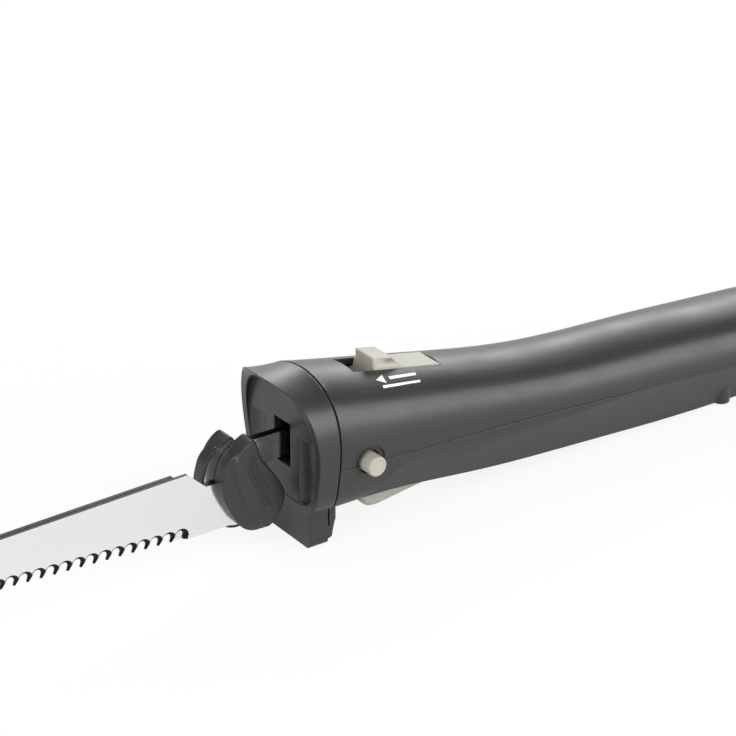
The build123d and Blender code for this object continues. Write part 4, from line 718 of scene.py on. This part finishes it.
class CARVER_OT_controls(bpy.types.Operator):
    """Makes the trigger, the safety slide and the two release buttons"""

    bl_idname = "carver.controls"
    bl_label = "Dress the controls"

    def execute(self, context):
        f = finishes()
        cream = moulded("control_cream", tuple(f.controls), 0.42, 2000.0, 0.08)
        smooth_copy("trigger", "trigger_bar", cream, change=self.deepen)
        smooth_copy("safety_slide", "thumb_slide", cream, change=self.lower_block)
        for side in ("left", "right"):
            smooth_copy(
                "release_button_" + side, "button_" + side, cream, change=self.dish
            )
        return {"FINISHED"}

    @staticmethod
    def deepen(shape):
        """Draws the trigger's bar down, so that it stands out below the grip."""
        bottom = min(vert.co.z for vert in shape.verts)
        share = 1.0 + details().trigger_drop / (TRIGGER_KEPT_FROM - bottom)
        for vert in shape.verts:
            if vert.co.z < TRIGGER_KEPT_FROM:
                vert.co.z = TRIGGER_KEPT_FROM - (TRIGGER_KEPT_FROM - vert.co.z) * share

    @staticmethod
    def lower_block(shape):
        """Lowers the slide's thumb block and leans it forward."""
        plate_x, plate_z = PLATE_PLACE
        front, more = BLOCK_SHIFT
        for vert in shape.verts:
            x = (vert.co.x - SEAM_X) / MM
            height = vert.co.z - (plate_z + (x - plate_x) * PLATE_SLOPE) * MM
            if height > BLOCK_FOOT * MM and x > BLOCK_REAR_X:
                share = height / (BLOCK_HEIGHT * MM)
                vert.co.z -= height * (1.0 - details().slide_height / (BLOCK_HEIGHT * MM))
                vert.co.x += share * (front + (BLOCK_FRONT_X - x) / BLOCK_LENGTH * more) * MM

    @staticmethod
    def dish(shape):
        """Slims a button outside the housing and hollows its face."""
        low = Vector([min(vert.co[axis] for vert in shape.verts) for axis in range(3)])
        high = Vector([max(vert.co[axis] for vert in shape.verts) for axis in range(3)])
        middle = (low + high) / 2
        outer_y = high.y if next(iter(shape.verts)).co.y > 0 else low.y
        share = details().button_radius / BUTTON_SOLID_RADIUS
        for vert in shape.verts:
            radius = Vector((vert.co.x - middle.x, vert.co.z - middle.z))
            if abs(vert.co.y) > BUTTON_OUTSIDE_Y and BUTTON_RIM[0] < radius.length < BUTTON_RIM[1]:
                vert.co.x = middle.x + radius.x * share
                vert.co.z = middle.z + radius.y * share
        bmesh.ops.dissolve_limit(shape, angle_limit=radians(1), verts=shape.verts, edges=shape.edges)
        ends = [face for face in shape.faces if abs(face.calc_center_median().y - outer_y) < 0.1 * MM]
        cap = max(ends, key=lambda face: face.calc_area())
        bmesh.ops.inset_region(shape, faces=[cap], thickness=DISH_RIM, depth=0.0)
        bmesh.ops.inset_region(shape, faces=[cap], thickness=DISH_DEPTH, depth=-DISH_DEPTH)


def lamp(name, place, target, size, power):
    """Rectangular soft lamp aimed at a point."""
    data = bpy.data.lights.new(name, "AREA")
    data.shape = "RECTANGLE"
    data.size, data.size_y = size
    data.energy = power
    softbox = bpy.data.objects.new(name, data)
    softbox.location = place
    softbox.rotation_euler = (target - place).to_track_quat("-Z", "Y").to_euler()
    bpy.context.scene.collection.objects.link(softbox)


def seen_or_mirrored(tree, mirrored):
    """One for rays from the camera, a share for reflected or refracted ones, zero for the rest."""
    path = tree.nodes.new("ShaderNodeLightPath")
    bounced = tree.nodes.new("ShaderNodeMath")
    bounced.operation = "MAXIMUM"
    tree.links.new(path.outputs["Is Glossy Ray"], bounced.inputs[0])
    tree.links.new(path.outputs["Is Transmission Ray"], bounced.inputs[1])
    weaker = tree.nodes.new("ShaderNodeMath")
    weaker.operation = "MULTIPLY"
    weaker.inputs[1].default_value = mirrored
    tree.links.new(bounced.outputs[0], weaker.inputs[0])
    either = tree.nodes.new("ShaderNodeMath")
    either.operation = "MAXIMUM"
    tree.links.new(path.outputs["Is Camera Ray"], either.inputs[0])
    tree.links.new(weaker.outputs[0], either.inputs[1])
    return either.outputs[0]


class CARVER_OT_studio(bpy.types.Operator):
    """Sets up the pale floor, the soft lamps, the world and the camera"""

    bl_idname = "carver.studio"
    bl_label = "Set up the studio"

    def execute(self, context):
        studio = context.scene.knife_studio
        self.camera(studio)
        self.floor(studio)
        self.world()
        for name, offset, size, power in LAMPS:
            lamp(name, SEAM_MIDDLE + Vector(offset), SEAM_MIDDLE, size, power)
        context.scene.view_settings.view_transform = "Standard"
        return {"FINISHED"}

    @staticmethod
    def camera(studio):
        """Sets the camera so that the seam's middle falls on its pixel of the picture."""
        turn, lift = studio.azimuth, studio.elevation
        back = Vector((sin(turn) * cos(lift), -cos(turn) * cos(lift), sin(lift)))
        right = (-back).cross(Vector((0, 0, 1))).normalized()
        up = right.cross(-back)
        data = bpy.data.cameras.new("camera")
        data.lens = studio.lens
        data.sensor_width = 36.0
        data.clip_start = 0.01
        data.clip_end = 50.0
        per_pixel = data.sensor_width / data.lens / PICTURE_SIDE * studio.distance
        aside, down = (pixel - PICTURE_SIDE / 2 for pixel in SEAM_PIXEL)
        camera = bpy.data.objects.new("camera", data)
        camera.location = (
            SEAM_MIDDLE + back * studio.distance - right * aside * per_pixel + up * down * per_pixel
        )
        camera.rotation_mode = "QUATERNION"
        camera.rotation_quaternion = (-back).to_track_quat("-Z", "Y")
        bpy.context.scene.collection.objects.link(camera)
        bpy.context.scene.camera = camera

    @staticmethod
    def floor(studio):
        """Lays a pale floor that is white to the camera but keeps the knife's shadow."""
        shape = bmesh.new()
        bmesh.ops.create_grid(shape, x_segments=1, y_segments=1, size=FLOOR_HALF_SIDE)
        bmesh.ops.translate(shape, verts=shape.verts, vec=(0, 0, CAD_BOX[0].z - FLOOR_GAP))
        mesh = bpy.data.meshes.new("floor")
        shape.to_mesh(mesh)
        shape.free()
        floor = bpy.data.objects.new("floor", mesh)
        bpy.context.scene.collection.objects.link(floor)
        material = bpy.data.materials.new("pale_floor")
        material.use_nodes = True
        tree = material.node_tree
        shader = tree.nodes["Principled BSDF"]
        shader.inputs["Base Color"].default_value = (*studio.floor, 1.0)
        shader.inputs["Roughness"].default_value = 0.8
        glow = tree.nodes.new("ShaderNodeEmission")
        glow.inputs["Color"].default_value = (1.0, 1.0, 1.0, 1.0)
        share = tree.nodes.new("ShaderNodeMath")
        share.operation = "MULTIPLY"
        share.inputs[1].default_value = FLOOR_GLOW
        tree.links.new(seen_or_mirrored(tree, FLOOR_MIRRORED), share.inputs[0])
        mix = tree.nodes.new("ShaderNodeMixShader")
        tree.links.new(share.outputs[0], mix.inputs[0])
        tree.links.new(shader.outputs[0], mix.inputs[1])
        tree.links.new(glow.outputs[0], mix.inputs[2])
        tree.links.new(mix.outputs[0], tree.nodes["Material Output"].inputs["Surface"])
        mesh.materials.append(material)

    @staticmethod
    def world():
        """Lights the knife with an even sky that is white to the camera."""
        world = bpy.data.worlds.new("studio")
        world.use_nodes = True
        tree = world.node_tree
        lit = tree.nodes["Background"]
        lit.inputs["Color"].default_value = (1.0, 1.0, 1.0, 1.0)
        lit.inputs["Strength"].default_value = WORLD_STRENGTH
        white = tree.nodes.new("ShaderNodeBackground")
        white.inputs["Strength"].default_value = 1.0
        white.inputs["Color"].default_value = (1.0, 1.0, 1.0, 1.0)
        mix = tree.nodes.new("ShaderNodeMixShader")
        path = tree.nodes.new("ShaderNodeLightPath")
        tree.links.new(path.outputs["Is Camera Ray"], mix.inputs[0])
        tree.links.new(lit.outputs[0], mix.inputs[1])
        tree.links.new(white.outputs[0], mix.inputs[2])
        tree.links.new(mix.outputs[0], tree.nodes["World Output"].inputs["Surface"])
        bpy.context.scene.world = world


class CARVER_PT_panel(bpy.types.Panel):
    """Lists the knife's operators and settings"""

    bl_idname = "CARVER_PT_panel"
    bl_label = "Carving Knife"
    bl_space_type = "VIEW_3D"
    bl_region_type = "UI"
    bl_category = "Carving Knife"

    def draw(self, context):
        layout = self.layout
        for operator in OPERATORS:
            layout.operator(operator.bl_idname)
        scene = context.scene
        for group in (scene.knife_finishes, scene.knife_details, scene.knife_studio):
            box = layout.box()
            for name in group.bl_rna.properties.keys():
                if name not in ("rna_type", "name"):
                    box.prop(group, name)


GROUPS = (KnifeFinishes, KnifeDetails, KnifeStudio)
OPERATORS = (
    CARVER_OT_studio,
    CARVER_OT_inner,
    CARVER_OT_housing,
    CARVER_OT_blades,
    CARVER_OT_bolsters,
    CARVER_OT_controls,
)


def register():
    for item in (*GROUPS, *OPERATORS, CARVER_PT_panel):
        bpy.utils.register_class(item)
    bpy.types.Scene.knife_finishes = PointerProperty(type=KnifeFinishes)
    bpy.types.Scene.knife_details = PointerProperty(type=KnifeDetails)
    bpy.types.Scene.knife_studio = PointerProperty(type=KnifeStudio)


def unregister():
    del bpy.types.Scene.knife_studio
    del bpy.types.Scene.knife_details
    del bpy.types.Scene.knife_finishes
    for item in reversed((*GROUPS, *OPERATORS, CARVER_PT_panel)):
        bpy.utils.unregister_class(item)


def main():
    register()
    bpy.ops.carver.studio()
    bpy.ops.carver.inner()
    bpy.ops.carver.housing()
    bpy.ops.carver.blades()
    bpy.ops.carver.bolsters()
    bpy.ops.carver.controls()


if __name__ == "__main__":
    main()
